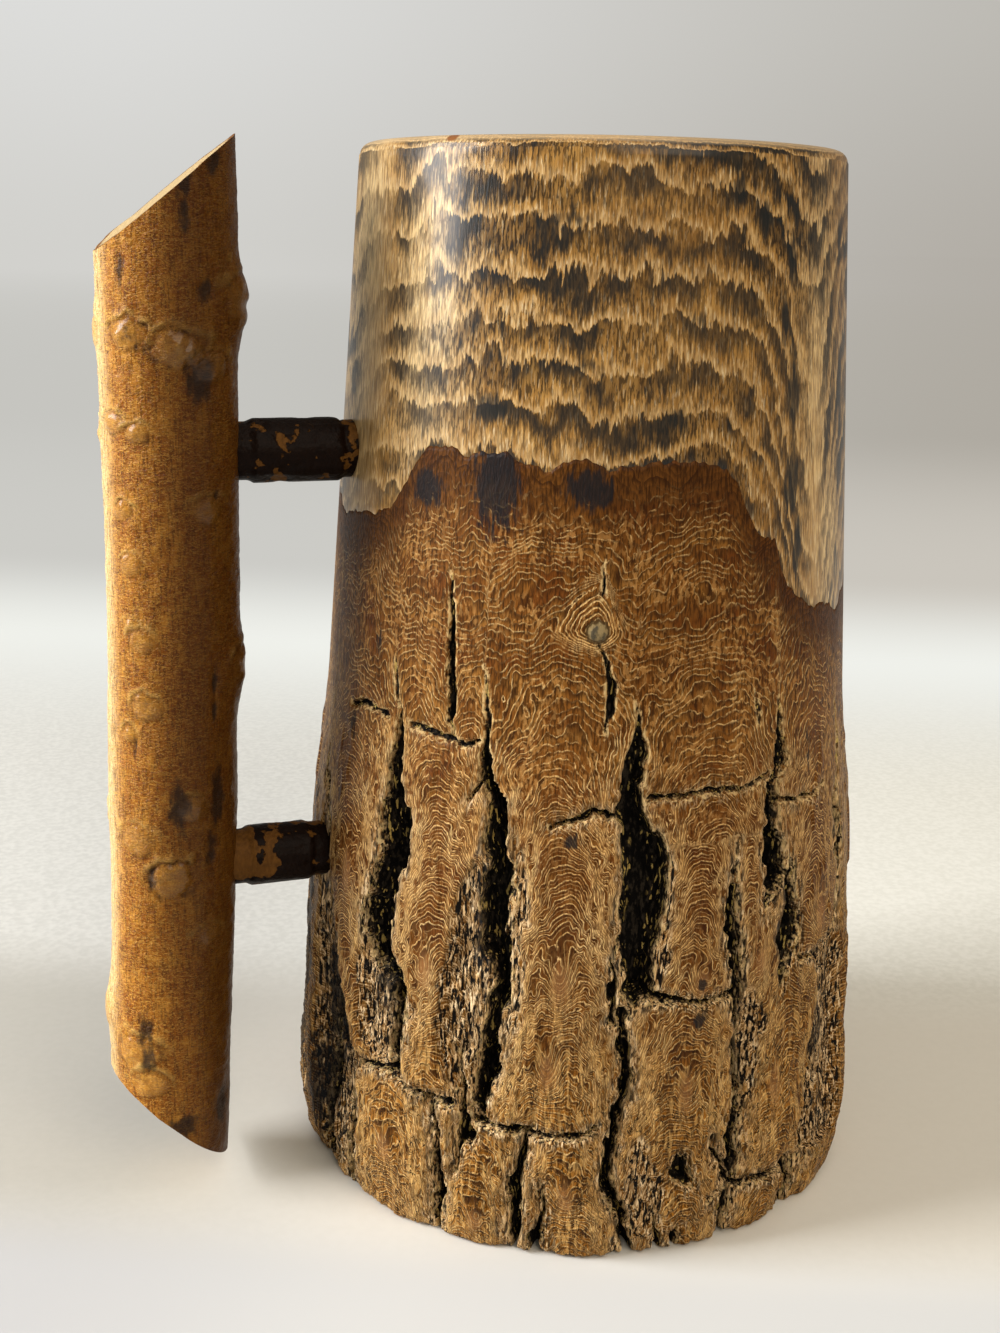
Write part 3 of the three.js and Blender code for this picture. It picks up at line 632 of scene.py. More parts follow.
class Finish:
    """The node tree of a material or of the world, with a short way to say each step."""

    def __init__(self, name, kind=bpy.data.materials, output="OutputMaterial"):
        self.owner = kind.new(name)
        self.owner.use_nodes = True
        self.tree = self.owner.node_tree
        self.tree.nodes.clear()
        self.out = self.tree.nodes.new("ShaderNode" + output)
        coordinates = self.node("TexCoord")
        self.spot = coordinates["Generated"]
        self.place = self.vector("SCALE", coordinates["Object"], 1 / METRE)
        self.base = None

    def put(self, value, socket):
        """Sets a socket to a value or a colour, or links another socket to it."""
        if isinstance(value, bpy.types.NodeSocket):
            self.tree.links.new(value, socket)
        else:
            socket.default_value = colour(value) if isinstance(value, str) else value

    def node(self, kind, inputs=None, **settings):
        """The outputs of a new node. Its inputs are given by name or number."""
        node = self.tree.nodes.new("ShaderNode" + kind)
        for key, value in settings.items():
            setattr(node, key, value)
        for key, value in (inputs or {}).items():
            self.put(value, node.inputs[key])
        return node.outputs

    def vector(self, operation, a, b):
        second = "Scale" if operation == "SCALE" else 1
        outputs = self.node("VectorMath", {0: a, second: b}, operation=operation)
        return outputs["Value" if operation == "DOT_PRODUCT" else "Vector"]

    def math(self, operation, a, b=0.0):
        return self.node("Math", {0: a, 1: b}, operation=operation)[0]

    def all_with(self, operation, first, *others):
        """All values taken together, one after another, by a sum or a product."""
        for value in others:
            first = self.math(operation, first, value)
        return first

    def add(self, *values):
        return self.all_with("ADD", *values)

    def times(self, *values):
        return self.all_with("MULTIPLY", *values)

    def most(self, a, b):
        return self.math("MAXIMUM", a, b)

    def off_middle(self, noise):
        """How far noise is from 0.5, its middle."""
        return self.math("ABSOLUTE", self.math("SUBTRACT", noise, 0.5))

    def rise(self, value, low, high, to_low=0.0, to_high=1.0):
        """to_low at low, to_high at high, and a smooth change between."""
        inputs = {"Value": value, "From Min": low, "From Max": high, "To Min": to_low, "To Max": to_high}
        return self.node("MapRange", inputs, interpolation_type="SMOOTHSTEP")["Result"]

    def chance(self, value):
        """A random share that stays the same between one whole number and the next."""
        return self.node("TexWhiteNoise", {"W": self.math("FLOOR", value)}, noise_dimensions="1D")["Value"]

    def field(self, name):
        return self.node("Attribute", attribute_name=name)["Fac"]

    def height(self):
        return self.node("SeparateXYZ", {0: self.place})["Z"]

    def noise(self, size, seed=0.0, detail=2.0, bend=0.0):
        """Noise about 0.5, with a grain of the given size, or of the given sizes across and along Z."""
        across, along = size if isinstance(size, tuple) else (size, size)
        spot = self.vector("MULTIPLY", self.place, (1 / across, 1 / across, 1 / along))
        spot = self.vector("ADD", spot, (seed * 7.31, seed * 3.17, seed * 5.53))
        inputs = {"Vector": spot, "Scale": 1.0, "Detail": detail, "Distortion": bend}
        return self.node("TexNoise", inputs)["Fac"]

    def swing(self, size, amount, seed=0.0, detail=2.0):
        """Noise about 0, as large as amount either way."""
        return self.times(self.math("SUBTRACT", self.noise(size, seed, detail), 0.5), 2.6 * amount)

    def marks(self, size, seed, detail, low, high):
        """Patches where noise is above high, with soft edges down to low."""
        return self.rise(self.noise(size, seed, detail), low, high)

    def mix(self, share, a, b):
        return self.node("Mix", {0: share, 6: a, 7: b}, data_type="RGBA")[2]

    def lay(self, share, shade, most=1.0):
        """Lays a shade over the base colour so far."""
        self.base = self.mix(self.times(share, most), self.base, shade)

    def bump(self, height, distance, strength=1.0, before=None):
        inputs = {"Strength": strength, "Distance": distance * METRE, "Height": height}
        if before is not None:
            inputs["Normal"] = before
        return self.node("Bump", inputs)["Normal"]

    def surface(self, roughness, normal, specular, coat=0.0, coat_roughness=0.2):
        shader = self.node("BsdfPrincipled", {
            "Base Color": self.base, "Roughness": roughness, "Normal": normal, "Specular IOR Level": specular,
            "Coat Weight": coat, "Coat Roughness": coat_roughness,
        })
        self.put(shader[0], self.out.inputs["Surface"])
        return self.owner

    def either(self, share, a, b):
        """A surface that shows the first shader, and by share the second."""
        self.put(self.node("MixShader", {0: share, 1: a, 2: b})[0], self.out.inputs["Surface"])


def bark_finish():
    f = Finish("bark")
    height = f.height()
    edge = f.add(f.field("edge"), f.swing(1.1, 0.3, 1), f.swing((0.5, 1.8), 0.35, 2, 4))
    rough = f.field("rough")
    shelf = f.field("shelf")
    below = f.field("below_line")
    halo = f.field("halo")
    grade = f.field("grade")
    phase = f.add(f.field("phase"), f.times(grade, f.swing((0.8, 1.6), 0.14, 4, 3)))
    tone = f.chance(phase)
    under = f.math("FRACT", phase)

    f.base = f.mix(f.noise(14, 5), "5a310c", "88561f")
    f.lay(f.marks(7, 17, 3, 0.5, 0.66), "5c2b07", 0.6)
    f.lay(f.rise(below, 22, 2), "45280b", 0.6)
    f.lay(rough, f.mix(f.noise(9, 6), "6e4210", "b07428"))
    flank = f.times(f.rise(edge, 3.6, 0.4), f.rise(height, 132, 92))
    f.lay(flank, "9a621e", 0.55)
    patch = f.times(f.rise(tone, 0.45, 0.9), f.marks((3, 6), 18, 3, 0.4, 0.6), f.rise(below, 4, 16))
    f.lay(patch, "aa7836", 0.35)
    f.lay(f.marks((0.4, 2.6), 7, 5, 0.42, 0.62), "261202", 0.75)
    f.lay(f.times(f.rise(under, 0.1, 0.95), f.rise(tone, 0, 1, 0.35, 0.8)), "281202")
    mottle = f.times(f.marks((0.8, 1.6), 34, 5, 0.5, 0.6), f.marks((7, 9), 35, 2, 0.4, 0.6))
    f.lay(f.times(mottle, f.rise(rough, 0.6, 0), f.rise(below, 4, 18)), "bc8a4c", 0.45)
    f.lay(f.times(f.rise(height, 116, 96), f.rise(height, 30, 60)), "4a2408", 0.42)

    grain = f.rise(f.noise((0.32, 1.4), 8, 4), 0.38, 0.58, 0.35, 1)
    drawn = f.add(f.noise((1.6, 1.6), 9, 4), f.times(tone, 0.12), f.swing(9, 0.1, 21))
    drawn = f.rise(f.add(drawn, f.rise(height, 140, 60, 0, 0.14)), 0.44, 0.62, 0.08, 1)
    drawn = f.times(f.most(drawn, halo), f.rise(below, 3, 14))
    width = f.times(grade, f.add(0.15, f.swing((2.5, 1.2), 0.1, 24)))
    line = f.rise(f.math("SUBTRACT", 1.0, under), f.times(width, 2.6), f.times(width, 0.5))
    finer = f.math("FRACT", f.math("SUBTRACT", 0.5, phase))
    finer = f.rise(finer, f.times(width, 1.8), f.times(width, 0.2), 0, f.rise(height, 130, 96, 0, 0.5))
    shown = f.most(f.rise(height, 146, 104, 0.55, 0.95), f.times(halo, 0.95))
    line = f.times(f.most(line, finer), drawn, grain, shown)
    f.lay(f.times(halo, f.rise(under, 0.2, 0.7)), "321a06", 0.55)
    # Partly the layers' own dark wood and partly painted shade: a dark band beside each pale growth line low
    # on the bark, as the shade of each layer's step.
    f.lay(f.times(f.rise(under, 0.3, 0.8), f.rise(drawn, 0.2, 0.8), f.rise(height, 120, 50)), "2a1304", 0.6)
    f.lay(line, f.mix(f.noise(5, 10), "c0883c", "f6d494"))

    f.lay(f.times(f.marks((1, 5), 37, 3, 0.53, 0.62), rough), "ecbc70", 0.35)
    split = f.most(f.times(flank, 0.8), f.times(rough, 0.5))
    f.lay(f.times(f.marks((0.9, 6), 28, 3, 0.53, 0.6), split), "301803", 0.85)
    checks = f.off_middle(f.noise((3, 5), 23, 5))
    f.lay(f.times(f.rise(checks, 0.012, 0.003), rough), "1a0f05")
    f.lay(f.field("eye"), "95683e", 0.5)
    near = f.times(f.rise(edge, 2.7, 0.2), f.rise(height, 124, 84))
    flaky = f.most(near, f.rise(shelf, 0.4, 1.2))
    # Painted shade: the deeper a flaked floor lies, the darker it is painted.
    f.lay(f.rise(shelf, 1.2, 4), "1c140b", 0.65)
    f.lay(flaky, f.mix(f.noise((0.8, 4), 36, 3), "402808", "a06e2c"), 0.5)
    bright = f.most(f.marks((0.6, 2.8), 11, 3, 0.54, 0.6), f.times(line, 0.8))
    f.lay(f.times(bright, flaky), f.mix(f.noise(2.5, 20), "c88e3c", "fdeac2"))
    gaps = f.times(f.marks((0.6, 3.2), 12, 3, 0.5, 0.56), flaky)
    f.lay(gaps, "120d08")

    f.lay(f.times(f.rise(edge, 0.7, 0.15), f.marks((0.9, 2), 13, 4, 0.46, 0.58)), "ecca8c", 0.6)
    torn = f.add(f.field("stain"), f.swing((0.7, 4), 0.45, 19, 4), f.swing(3, 0.25, 25))
    f.lay(f.rise(torn, 0.35, 0.7), "17181a", 0.88)
    # Painted shade: the inside of each fissure is painted near black, deepening the shadow its depth casts,
    # with paler chips in it.
    fissure_shade = f.mix(f.marks((0.9, 2), 22, 4, 0.48, 0.65), "090705", "2c261e")
    chips = f.times(f.marks((0.9, 3.2), 14, 3, 0.6, 0.64), f.rise(edge, -4, -0.4))
    f.lay(f.rise(edge, 0.1, -0.3), f.mix(chips, fissure_shade, f.mix(f.noise(1.5, 26), "7a5821", "e8cb77")))
    knot = f.field("knot")
    f.lay(knot, f.mix(f.marks((1.6, 2.6), 27, 3, 0.42, 0.6), "8c7852", "4e4636"))
    f.lay(f.rise(f.off_middle(knot), 0.5, 0.2), "35230d", 0.75)

    normal = f.bump(line, 0.16, 0.7)
    normal = f.bump(f.noise((0.4, 1.6), 15, 4), 0.5, f.rise(rough, 0, 1, 0.4, 0.9), normal)
    normal = f.bump(gaps, -0.6, 0.8, normal)
    roughness = f.add(f.rise(edge, 0.1, -0.3, 0.42, 0.9), f.swing(1.2, 0.1, 16))
    return f.surface(roughness, normal, 0.07)


def wood_finish():
    f = Finish("turned_wood")
    # Where show is low the rings fade; near the handle, that fading is a painted reflection of the window
    # lamp.
    show = f.field("show")
    core = f.field("core")
    turn = f.add(f.swing((2.4, 20), 0.12, 31), f.swing((0.9, 12), 0.18, 21, 3), f.swing((0.4, 4), 0.2, 22, 3))
    turn = f.math("FRACT", f.add(f.field("band"), turn))
    fade = f.rise(f.add(turn, f.swing((0.4, 3.2), 0.36, 23, 3)), 0.08, 0.72)
    patch = f.add(f.noise((9, 12), 27, 2), f.swing((1, 4), 0.1, 28))
    dark = f.times(f.rise(turn, 0.985, 0.94), fade, show, f.rise(patch, 0.3, 0.55, 0.55, 1))
    strokes = f.times(f.marks((0.42, 2.4), 24, 4, 0.47, 0.57), f.rise(turn, 0, 0.5, 0.45, 1), show)

    f.base = f.mix(f.noise(16, 25), "8c6026", "c09450")
    # Painted light on the side that faces the window lamp, and a paler patch by the lobe at round 121.
    f.lay(f.field("lamp_light_and_pale"), "f3d49a")
    f.lay(f.rise(turn, 0.3, 0), "d2b684", 0.5)
    # Partly the wood's pale fibres and partly painted glints: whitish streaks standing in for sheen on the
    # fibres.
    f.lay(f.marks((0.32, 3), 33, 3, 0.55, 0.66), "dcc8a0", 0.6)
    f.lay(f.marks((0.5, 7), 26, 4, 0.35, 0.7), "7a5220", 0.7)
    f.lay(dark, "3c2b15", 0.8)
    f.lay(strokes, "271a0a", 0.88)
    f.lay(f.times(dark, f.most(f.rise(patch, 0.44, 0.58), core)), "191b1a", 0.9)
    f.lay(f.rise(f.add(core, f.swing((0.8, 6), 0.45, 32, 3)), 0.4, 0.75), "1c1d1b", 0.85)
    # Painted highlight along the rim's crest, over its paler end grain.
    f.lay(f.rise(f.height(), CUP_HEIGHT - 1.6, CUP_HEIGHT - 0.4), "bda27a", 0.6)
    f.lay(f.rise(f.field("chip"), 0.4, 0.6), "7c4e28")

    normal = f.bump(f.noise((0.3, 6), 29, 3), 0.1, 0.7)
    return f.surface(f.add(0.34, f.swing(2, 0.06, 30)), normal, 0.14, coat=0.16, coat_roughness=0.16)


def branch_finish():
    f = Finish("peeled_branch")
    scar = f.field("scar")
    cut = f.field("cut")
    f.base = f.mix(f.noise((6, 16), 41, 3), "7c410a", "b06b1c")
    f.lay(f.marks((3, 5), 42, 4, 0.45, 0.7), "cb892e", 0.7)
    # Painted light on the outer side, which faces the window lamp.
    f.lay(f.field("outer"), "eac88e")
    f.lay(f.marks((0.4, 5), 43, 5, 0.46, 0.62), "4a2506", 0.6)
    crackle = f.off_middle(f.noise((1.5, 0.6), 44, 4, 1.2))
    f.lay(f.rise(crackle, 0.045, 0.01), "e0a84c", 0.7)
    f.lay(f.rise(f.noise((0.9, 0.6), 49, 3, 1), 0.55, 0.66), "3d1f06", 0.45)
    f.lay(scar, f.mix(f.noise(1.6, 51, 4), "945514", "eab145"), 0.5)
    # Painted highlight: a pale crescent on the fold above each scar.
    f.lay(f.field("pale"), "e8c06a", 0.55)
    # Painted shade on the side that faces the cup.
    f.lay(f.field("cup_side_shade"), "2c1302", 0.86)
    f.lay(f.field("crease"), "231003")
    torn = f.add(f.field("stain"), f.swing((1.4, 3), 0.5, 45, 4))
    f.lay(f.rise(torn, 0.3, 0.85), "1c120c", 0.85)

    reach = f.field("ring")
    rings = f.math("FRACT", f.add(f.times(reach, 9), f.swing(3, 0.6, 50)))
    end = f.mix(f.times(f.rise(rings, 0.5, 0.95), 0.4), "bba274", "8e6c42")
    f.lay(cut, f.mix(f.rise(reach, 0.86, 0.94), end, "6b4114"))
    normal = f.bump(f.noise((1.5, 0.6), 46, 5, 1), 0.8, f.rise(cut, 0, 1, 0.75, 0.05))
    normal = f.bump(f.noise((0.3, 2), 47, 3), 0.15, 0.5, normal)
    return f.surface(f.add(0.36, f.swing(1.5, 0.1, 48)), normal, 0.08, coat=f.rise(scar, 0, 1, 0.04, 0.35))


def peg_finish():
    f = Finish("peg_wood")
    bare = f.add(f.noise((3.4, 3.4), 61, 5), f.times(f.field("worn"), 0.2), f.field("bare"))
    bare = f.rise(bare, 0.6, 0.63)
    f.base = f.mix(f.noise(1, 62, 3), "060302", "1a0e07")
    f.lay(bare, f.mix(f.noise((0.8, 2), 63, 3), "341f0a", "6a461c"))
    normal = f.bump(f.times(bare, -1), 0.3, 0.8)
    normal = f.bump(f.noise(0.9, 64, 4), 0.35, 0.7, normal)
    return f.surface(f.rise(bare, 0, 1, 0.42, 0.55), normal, 0.05)


# The pieces

def make_bark():
    rounds = columns(SEEN_STEP, UNSEEN_STEP)
    top = bark_top(rounds)
    low = np.linspace(0, BARK_LOW_SHARE, BARK_LOW_ROWS)
    high = np.linspace(BARK_LOW_SHARE, 1, BARK_HIGH_ROWS)[1:]
    z = np.concatenate([low, high])[:, None] * top[None, :]
    around = np.broadcast_to(rounds, z.shape)
    relief, fields = bark_fields(around, z, top)
    foot = FOOT_ROUND - np.sqrt(FOOT_ROUND**2 - np.maximum(0, FOOT_ROUND - z) ** 2)
    inside = turned_radius(top) - BARK_EDGE
    skin = on_cup(around, z, np.maximum(turned_radius(z) + relief - foot, inside + THINNEST_BARK))
    upper = on_cup(rounds, top, inside)[None]
    lower = on_cup(rounds, 0 * top, inside)[None]
    rings = np.concatenate([skin, upper, lower, skin[:1]])
    closed = {key: np.concatenate([v, v[-1:], v[:1], v[:1]]) for key, v in fields.items()}
    dress(ring_mesh("log_bark", rings, closed, bark_finish()), "bark_jacket")


# How the annual rings plunge to one side in lobes: (round, half width, how deep)
LOBES = [(121, 13, 44), (172, 16, 30), (238, 20, 38), (300, 18, 26), (352, 16, 20)]

# Where the rings hardly show: (round, height, half height, half width, strength). Near rounds 11 and 27, on
# the side that faces the window lamp, the faded rings are a painted reflection of the lamp.
QUIET = [(11, 190, 70, 10, 0.85), (27, 205, 40, 8, 0.45), (122, 165, 34, 4, 0.9)]

# Where the turned wood is palest, likewise. Near rounds 4 and 30, on the side that faces the window lamp,
# this is painted light.
LAMP_LIGHT_AND_PALE = [(4, 206, 46, 12, 0.95), (30, 212, 42, 11, 0.85), (123, 196, 50, 9, 0.6), (129, 158, 20, 9, 0.8)]

# Dark blots in the turned wood: (round, height, half height, half width, strength)
# The wide blot at round -14, on the side that faces the handle, is partly stain and partly painted shade.
WOOD_STAINS = [
    (97, 230, 4, 3, 0.9), (104, 225, 5, 2.4, 0.9), (112, 217, 7, 2, 0.9), (110, 205, 7, 2, 0.8),
    (113, 190, 9, 3, 0.9), (113, 172, 9, 3.6, 0.9), (115, 158, 8, 2.6, 0.9), (134, 222, 8, 2, 0.9),
    (136, 190, 9, 2.6, 0.9), (135, 172, 7, 2.4, 0.9), (134, 152, 7, 2.2, 0.8), (60, 224, 2.4, 9, 0.7),
    (-14, 205, 60, 8, 0.45), (46, 187, 4, 6, 0.9), (88, 205, 4, 4, 0.6), (84, 186, 4, 5, 0.7),
    (66, 196, 3, 7, 0.6),
]
RING_SPACING = 9.2

# The small chip in the rim's outer edge: its place, and half its width in degrees, its height and its depth
CHIP_ROUND = 33
CHIP_WIDE_DEG = 2.2
CHIP_TALL = 1.6
CHIP_DEEP = 3


def band_fields(rounds, z, radius):
    """Which annual ring each point of the wood lies in, counted outwards, and what else its finish needs."""
    spot = on_cup(rounds, z, GRAIN_SHELL)
    wave = 3.4 * noise(spot, (19, 19, 26), 51) - 5.5 * np.abs(noise(spot, (7, 7, 8), 52))
    wave -= 2.6 * np.abs(noise(spot, (2.6, 2.6, 6), 53))
    lobe = sum(deep * bell(apart(rounds, at) / wide) for at, wide, deep in LOBES)
    low_share = 1.1 - 0.8 * smooth(150, 238, z)
    depth_in = RIM_RADIUS + TAPER * CUP_HEIGHT - radius
    off_chip = off_oval(apart(rounds, CHIP_ROUND), z - CUP_HEIGHT, CHIP_TALL, CHIP_WIDE_DEG)
    return {
        "band": (depth_in / TAPER + wave + lobe * low_share) / RING_SPACING,
        "show": (1 - spots(rounds, z, QUIET)) * (0.85 + 0.3 * noise(spot, 20, 54)),
        "lamp_light_and_pale": spots(rounds, z, LAMP_LIGHT_AND_PALE),
        "core": spots(rounds, z, WOOD_STAINS),
        "chip": np.exp(-off_chip) * bell((radius - turned_radius(z)) / CHIP_DEEP),
    }


def make_cup():
    rounds = columns(SEEN_STEP, UNSEEN_STEP)
    top = bark_top(rounds)
    under = turned_radius(top) - BARK_EDGE - CLEARANCE
    profile = []

    def ring(radius, height):
        profile.append((radius + 0 * rounds, height + 0 * rounds))

    def round_over(radius, height, size, start, end, steps):
        for a in np.radians(np.linspace(start, end, steps)):
            ring(radius + size * math.cos(a), height + size * math.sin(a))

    for share in (0, 0.5, 1):
        ring(under * share, 0)
    ring(under, top - WOOD_UNDER_BARK)
    for share in np.linspace(0, 1, CUP_ROWS):
        height = top + (CUP_HEIGHT - RIM_ROUND - top) * share
        ring(turned_radius(height), height)
    round_over(turned_radius(CUP_HEIGHT) - RIM_ROUND, CUP_HEIGHT - RIM_ROUND, RIM_ROUND, 8, 90, 8)
    mouth = BORE_RADIUS + BORE_DRAFT
    lip = CUP_HEIGHT - LIP_ROUND
    round_over(mouth + LIP_ROUND, lip, LIP_ROUND, 90, 180, 6)
    low = FLOOR_THICKNESS + BORE_FILLET
    for share in np.linspace(0, 1, BORE_ROWS)[1:-1]:
        ring(mouth - BORE_DRAFT * share, lip + (low - lip) * share)
    round_over(BORE_RADIUS - BORE_FILLET, low, BORE_FILLET, 0, -90, 8)
    for share in (0.66, 0.33, 0):
        ring((BORE_RADIUS - BORE_FILLET) * share, FLOOR_THICKNESS)
    radius, height = (np.array(values) for values in zip(*profile))
    around = np.broadcast_to(rounds, radius.shape)
    rings = on_cup(around, height, radius)
    piece = ring_mesh("turned_log", rings, band_fields(around, height, radius), wood_finish())
    dress(piece, "turned_cup")


# Where the branch swells: (height, degrees round the branch from its outer side, size, how far)
SWELLS = [
    (206, 172, 8.5, 1.5), (127, 172, 9, 1.3), (200, -6, 6, 0.4), (44.6, -4, 7, 0.7), (38, 50, 8, 0.9),
    (150, 250, 7, 1.5), (60, 290, 8, 1.6), (216, 300, 6, 1.2),
]

# The crease round a branch scar and the fold beyond it: how far out, in the scar's radius, and how wide
SCAR_CREASE = (1.12, 0.13)
SCAR_FOLD = (1.42, 0.2)

# Flat branch scars: (height, degrees round, radius, how far they stand out)
SCARS = [
    (199.4, 47, 3.8, 1.1), (196.8, 90, 4.6, 1.2), (193, 118, 4.2, 0.7), (181.4, 28, 2.8, 0.8),
    (179.6, 53, 2.6, 0.7), (163.4, 116, 3.4, 0.5), (163.4, 38, 2.4, 0.7), (151.8, 45, 2.6, 0.6),
    (138.6, 43, 2, 0.5), (135.4, 53, 3, 0.6), (120.1, 57, 3.4, 0.6), (113.8, 39, 2.2, 0.6),
    (96.5, 97, 3.2, 0.6), (89.7, 46, 4, 0.5), (80.6, 80, 5, 1.2), (44.6, -4, 4.6, 0.6),
    (38, 50, 5, 0.9), (30, 62, 4, 0.8),
    (65.6, 118, 3, 0.3), (206, 168, 7, 0.6), (127, 168, 5.6, 0.6), (199.9, -6, 4, 0.4), (179, -6, 3.2, 0.5),
    (150, 250, 5, 0.9), (60, 290, 6, 1), (216, 300, 5, 0.8), (104, 232, 4, 0.8), (182, 262, 4, 0.8),
    (40, 212, 4.4, 0.9), (170, 322, 3.6, 0.7), (92, 330, 4.4, 0.8),
]

# Dark marks on the handle: (degrees round, height, half height, half width, strength)
HANDLE_STAINS = [
    (97, 231, 6, 2, 1), (97, 224, 5, 1.6, 0.9), (125, 234, 4, 2.4, 0.9), (113, 208.6, 2.6, 2.4, 1),
    (106, 190.7, 6, 3.6, 1), (43, 213.4, 6, 1.6, 0.8), (49, 200.6, 4, 3, 0.6), (86, 97.7, 7, 3, 1),
    (124, 98, 9, 2.6, 1), (117, 86.4, 6, 1.8, 0.9), (62, 80.8, 4.4, 1.8, 0.9), (96, 18.4, 3.4, 4.6, 1),
    (120, 125.8, 3.4, 0.9, 1), (120, 119, 2.6, 0.9, 1), (57, 43.9, 5, 2.6, 0.9), (62, 36.5, 6, 1.8, 0.9),
    (122, 166.4, 1.6, 1, 0.8), (143, 20, 6, 3.4, 1), (45, 111.8, 3.6, 1, 0.7), (62, 197, 2, 4, 0.6),
    (300, 110, 8, 3, 0.8), (220, 170, 9, 3, 0.8), (250, 60, 6, 3, 0.8), (262, 206, 6, 2, 0.8),
]


# Painted shade on the side of the branch that faces the cup, and painted light on its outer side, which faces
# the window lamp, in degrees round it: over which degrees the painted shade starts and stops, how much later
# it starts low down, and up to which heights that holds
INNER_STARTS = (10, 112)
INNER_STOPS = (250, 330)
INNER_LATER = 26
INNER_LOW = (15, 95)
OUTER_AT = -2
OUTER_WIDE = 25


def handle_offset(z):
    """How far from the cup's axis the branch's axis stands at a height."""
    low = turned_radius(LOWER_PEG_HEIGHT) + LOWER_GAP + HANDLE_RADIUS
    high = turned_radius(LOWER_PEG_HEIGHT + PEG_SPACING) + UPPER_GAP + HANDLE_RADIUS
    t = (z - LOWER_PEG_HEIGHT) / PEG_SPACING
    return low + (high - low) * t + HANDLE_BOW * t * (t - 1)


def branch_fields(psi, z, spot):
    """How far the branch stands out or in at each point, and what its finish needs to know."""
    relief = 0.35 * noise(spot, (8, 8, 16), 71) + 0.22 * rough_noise(spot, (2.2, 2.2, 1.8), 72)
    for height, at, size, proud in SWELLS:
        away = np.hypot(np.radians(apart(psi, at)) * HANDLE_RADIUS, z - height) / size
        relief += proud * bell(away, 3) * (1 + 0.25 * noise(spot, 2.5, int(height)))
    scar, crease, pale = (np.zeros(z.shape) for _ in range(3))
    for height, at, size, proud in SCARS:
        wobble = 1 + 0.25 * noise(spot, 3, int(height)) + 0.12 * noise(spot, 1.2, int(at) + 400)
        up = (z - height) * 1.25 / size
        away = np.hypot(np.radians(apart(psi, at)) * HANDLE_RADIUS / size, up) * wobble
        ragged = 0.5 + 0.5 * noise(spot, 1.6, int(height) + 90)
        fold = ridge(away, SCAR_FOLD) * smooth(-0.2, 0.9, up) * ragged
        groove = ridge(away, SCAR_CREASE) * ragged
        lumps = 1 + 0.5 * noise(spot, 1.8, int(at) + 60)
        relief += proud * (0.8 * bell(away, 4) * lumps + 0.7 * fold - 0.4 * groove)
        scar = np.maximum(scar, bell(away, 6))
        crease = np.maximum(crease, groove * ragged * min(1, proud))
        # Painted highlight: the fold above each scar is painted pale.
        pale = np.maximum(pale, fold)
    # Painted shade on the side that faces the cup, and below it, painted light on the outer side.
    cup_side_shade = smooth(*INNER_STARTS, psi - INNER_LATER * up_to(INNER_LOW, z)) * up_to(INNER_STOPS, psi)
    stain = spots(psi, z, HANDLE_STAINS, mm_per_degree=HANDLE_RADIUS * math.radians(1))
    return relief - 0.4 * stain, {
        "scar": scar, "crease": crease, "pale": pale, "stain": stain,
        "cup_side_shade": cup_side_shade, "outer": bell(apart(psi, OUTER_AT) / OUTER_WIDE, 4),
    }


def make_handle():
    around = columns(HANDLE_SEEN_STEP, HANDLE_UNSEEN_STEP)
    psi = np.broadcast_to(around, (HANDLE_ROWS, len(around)))

    def slant(bevel_deg, turn_deg=0):
        return math.tan(math.radians(bevel_deg)) * HANDLE_RADIUS * np.cos(np.radians(180 + psi + turn_deg))

    top = HANDLE_BOTTOM + HANDLE_LENGTH + slant(TOP_BEVEL_DEG, TOP_CUT_TURN_DEG)
    bottom = HANDLE_BOTTOM - slant(BOTTOM_BEVEL_DEG)
    z = bottom + (top - bottom) * np.linspace(0, 1, HANDLE_ROWS)[:, None]
    relief, fields = branch_fields(psi, z, on_cup(psi, z, HANDLE_RADIUS))
    radius = HANDLE_RADIUS + HANDLE_TAPER * ((z - LOWER_PEG_HEIGHT) / PEG_SPACING - 0.5) + relief
    skin = on_cup(psi, z, radius)
    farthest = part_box("branch_handle")[0].x / METRE + BOX_MARGIN
    skin[..., 0] = np.maximum(skin[..., 0] - handle_offset(z), farthest)
    shares = np.array(END_SHARES)[:, None, None]
    caps = [skin[k].mean(0) + (skin[k] - skin[k].mean(0)) * shares for k in (0, -1)]
    rings = np.concatenate([caps[0], skin, caps[1][::-1]])
    reach = np.broadcast_to(shares[..., 0], (len(shares), len(around)))
    none, whole = np.zeros(reach.shape), np.ones(reach.shape)
    fields = {key: np.concatenate([none, values, none]) for key, values in fields.items()}
    fields["cut"] = np.concatenate([whole, np.zeros(z.shape), whole])
    fields["ring"] = np.concatenate([reach, np.ones(z.shape), reach[::-1]])
    piece = ring_mesh("peeled_branch", rings, fields, branch_finish(), CRISP_DEG)
    dress(piece, "branch_handle")


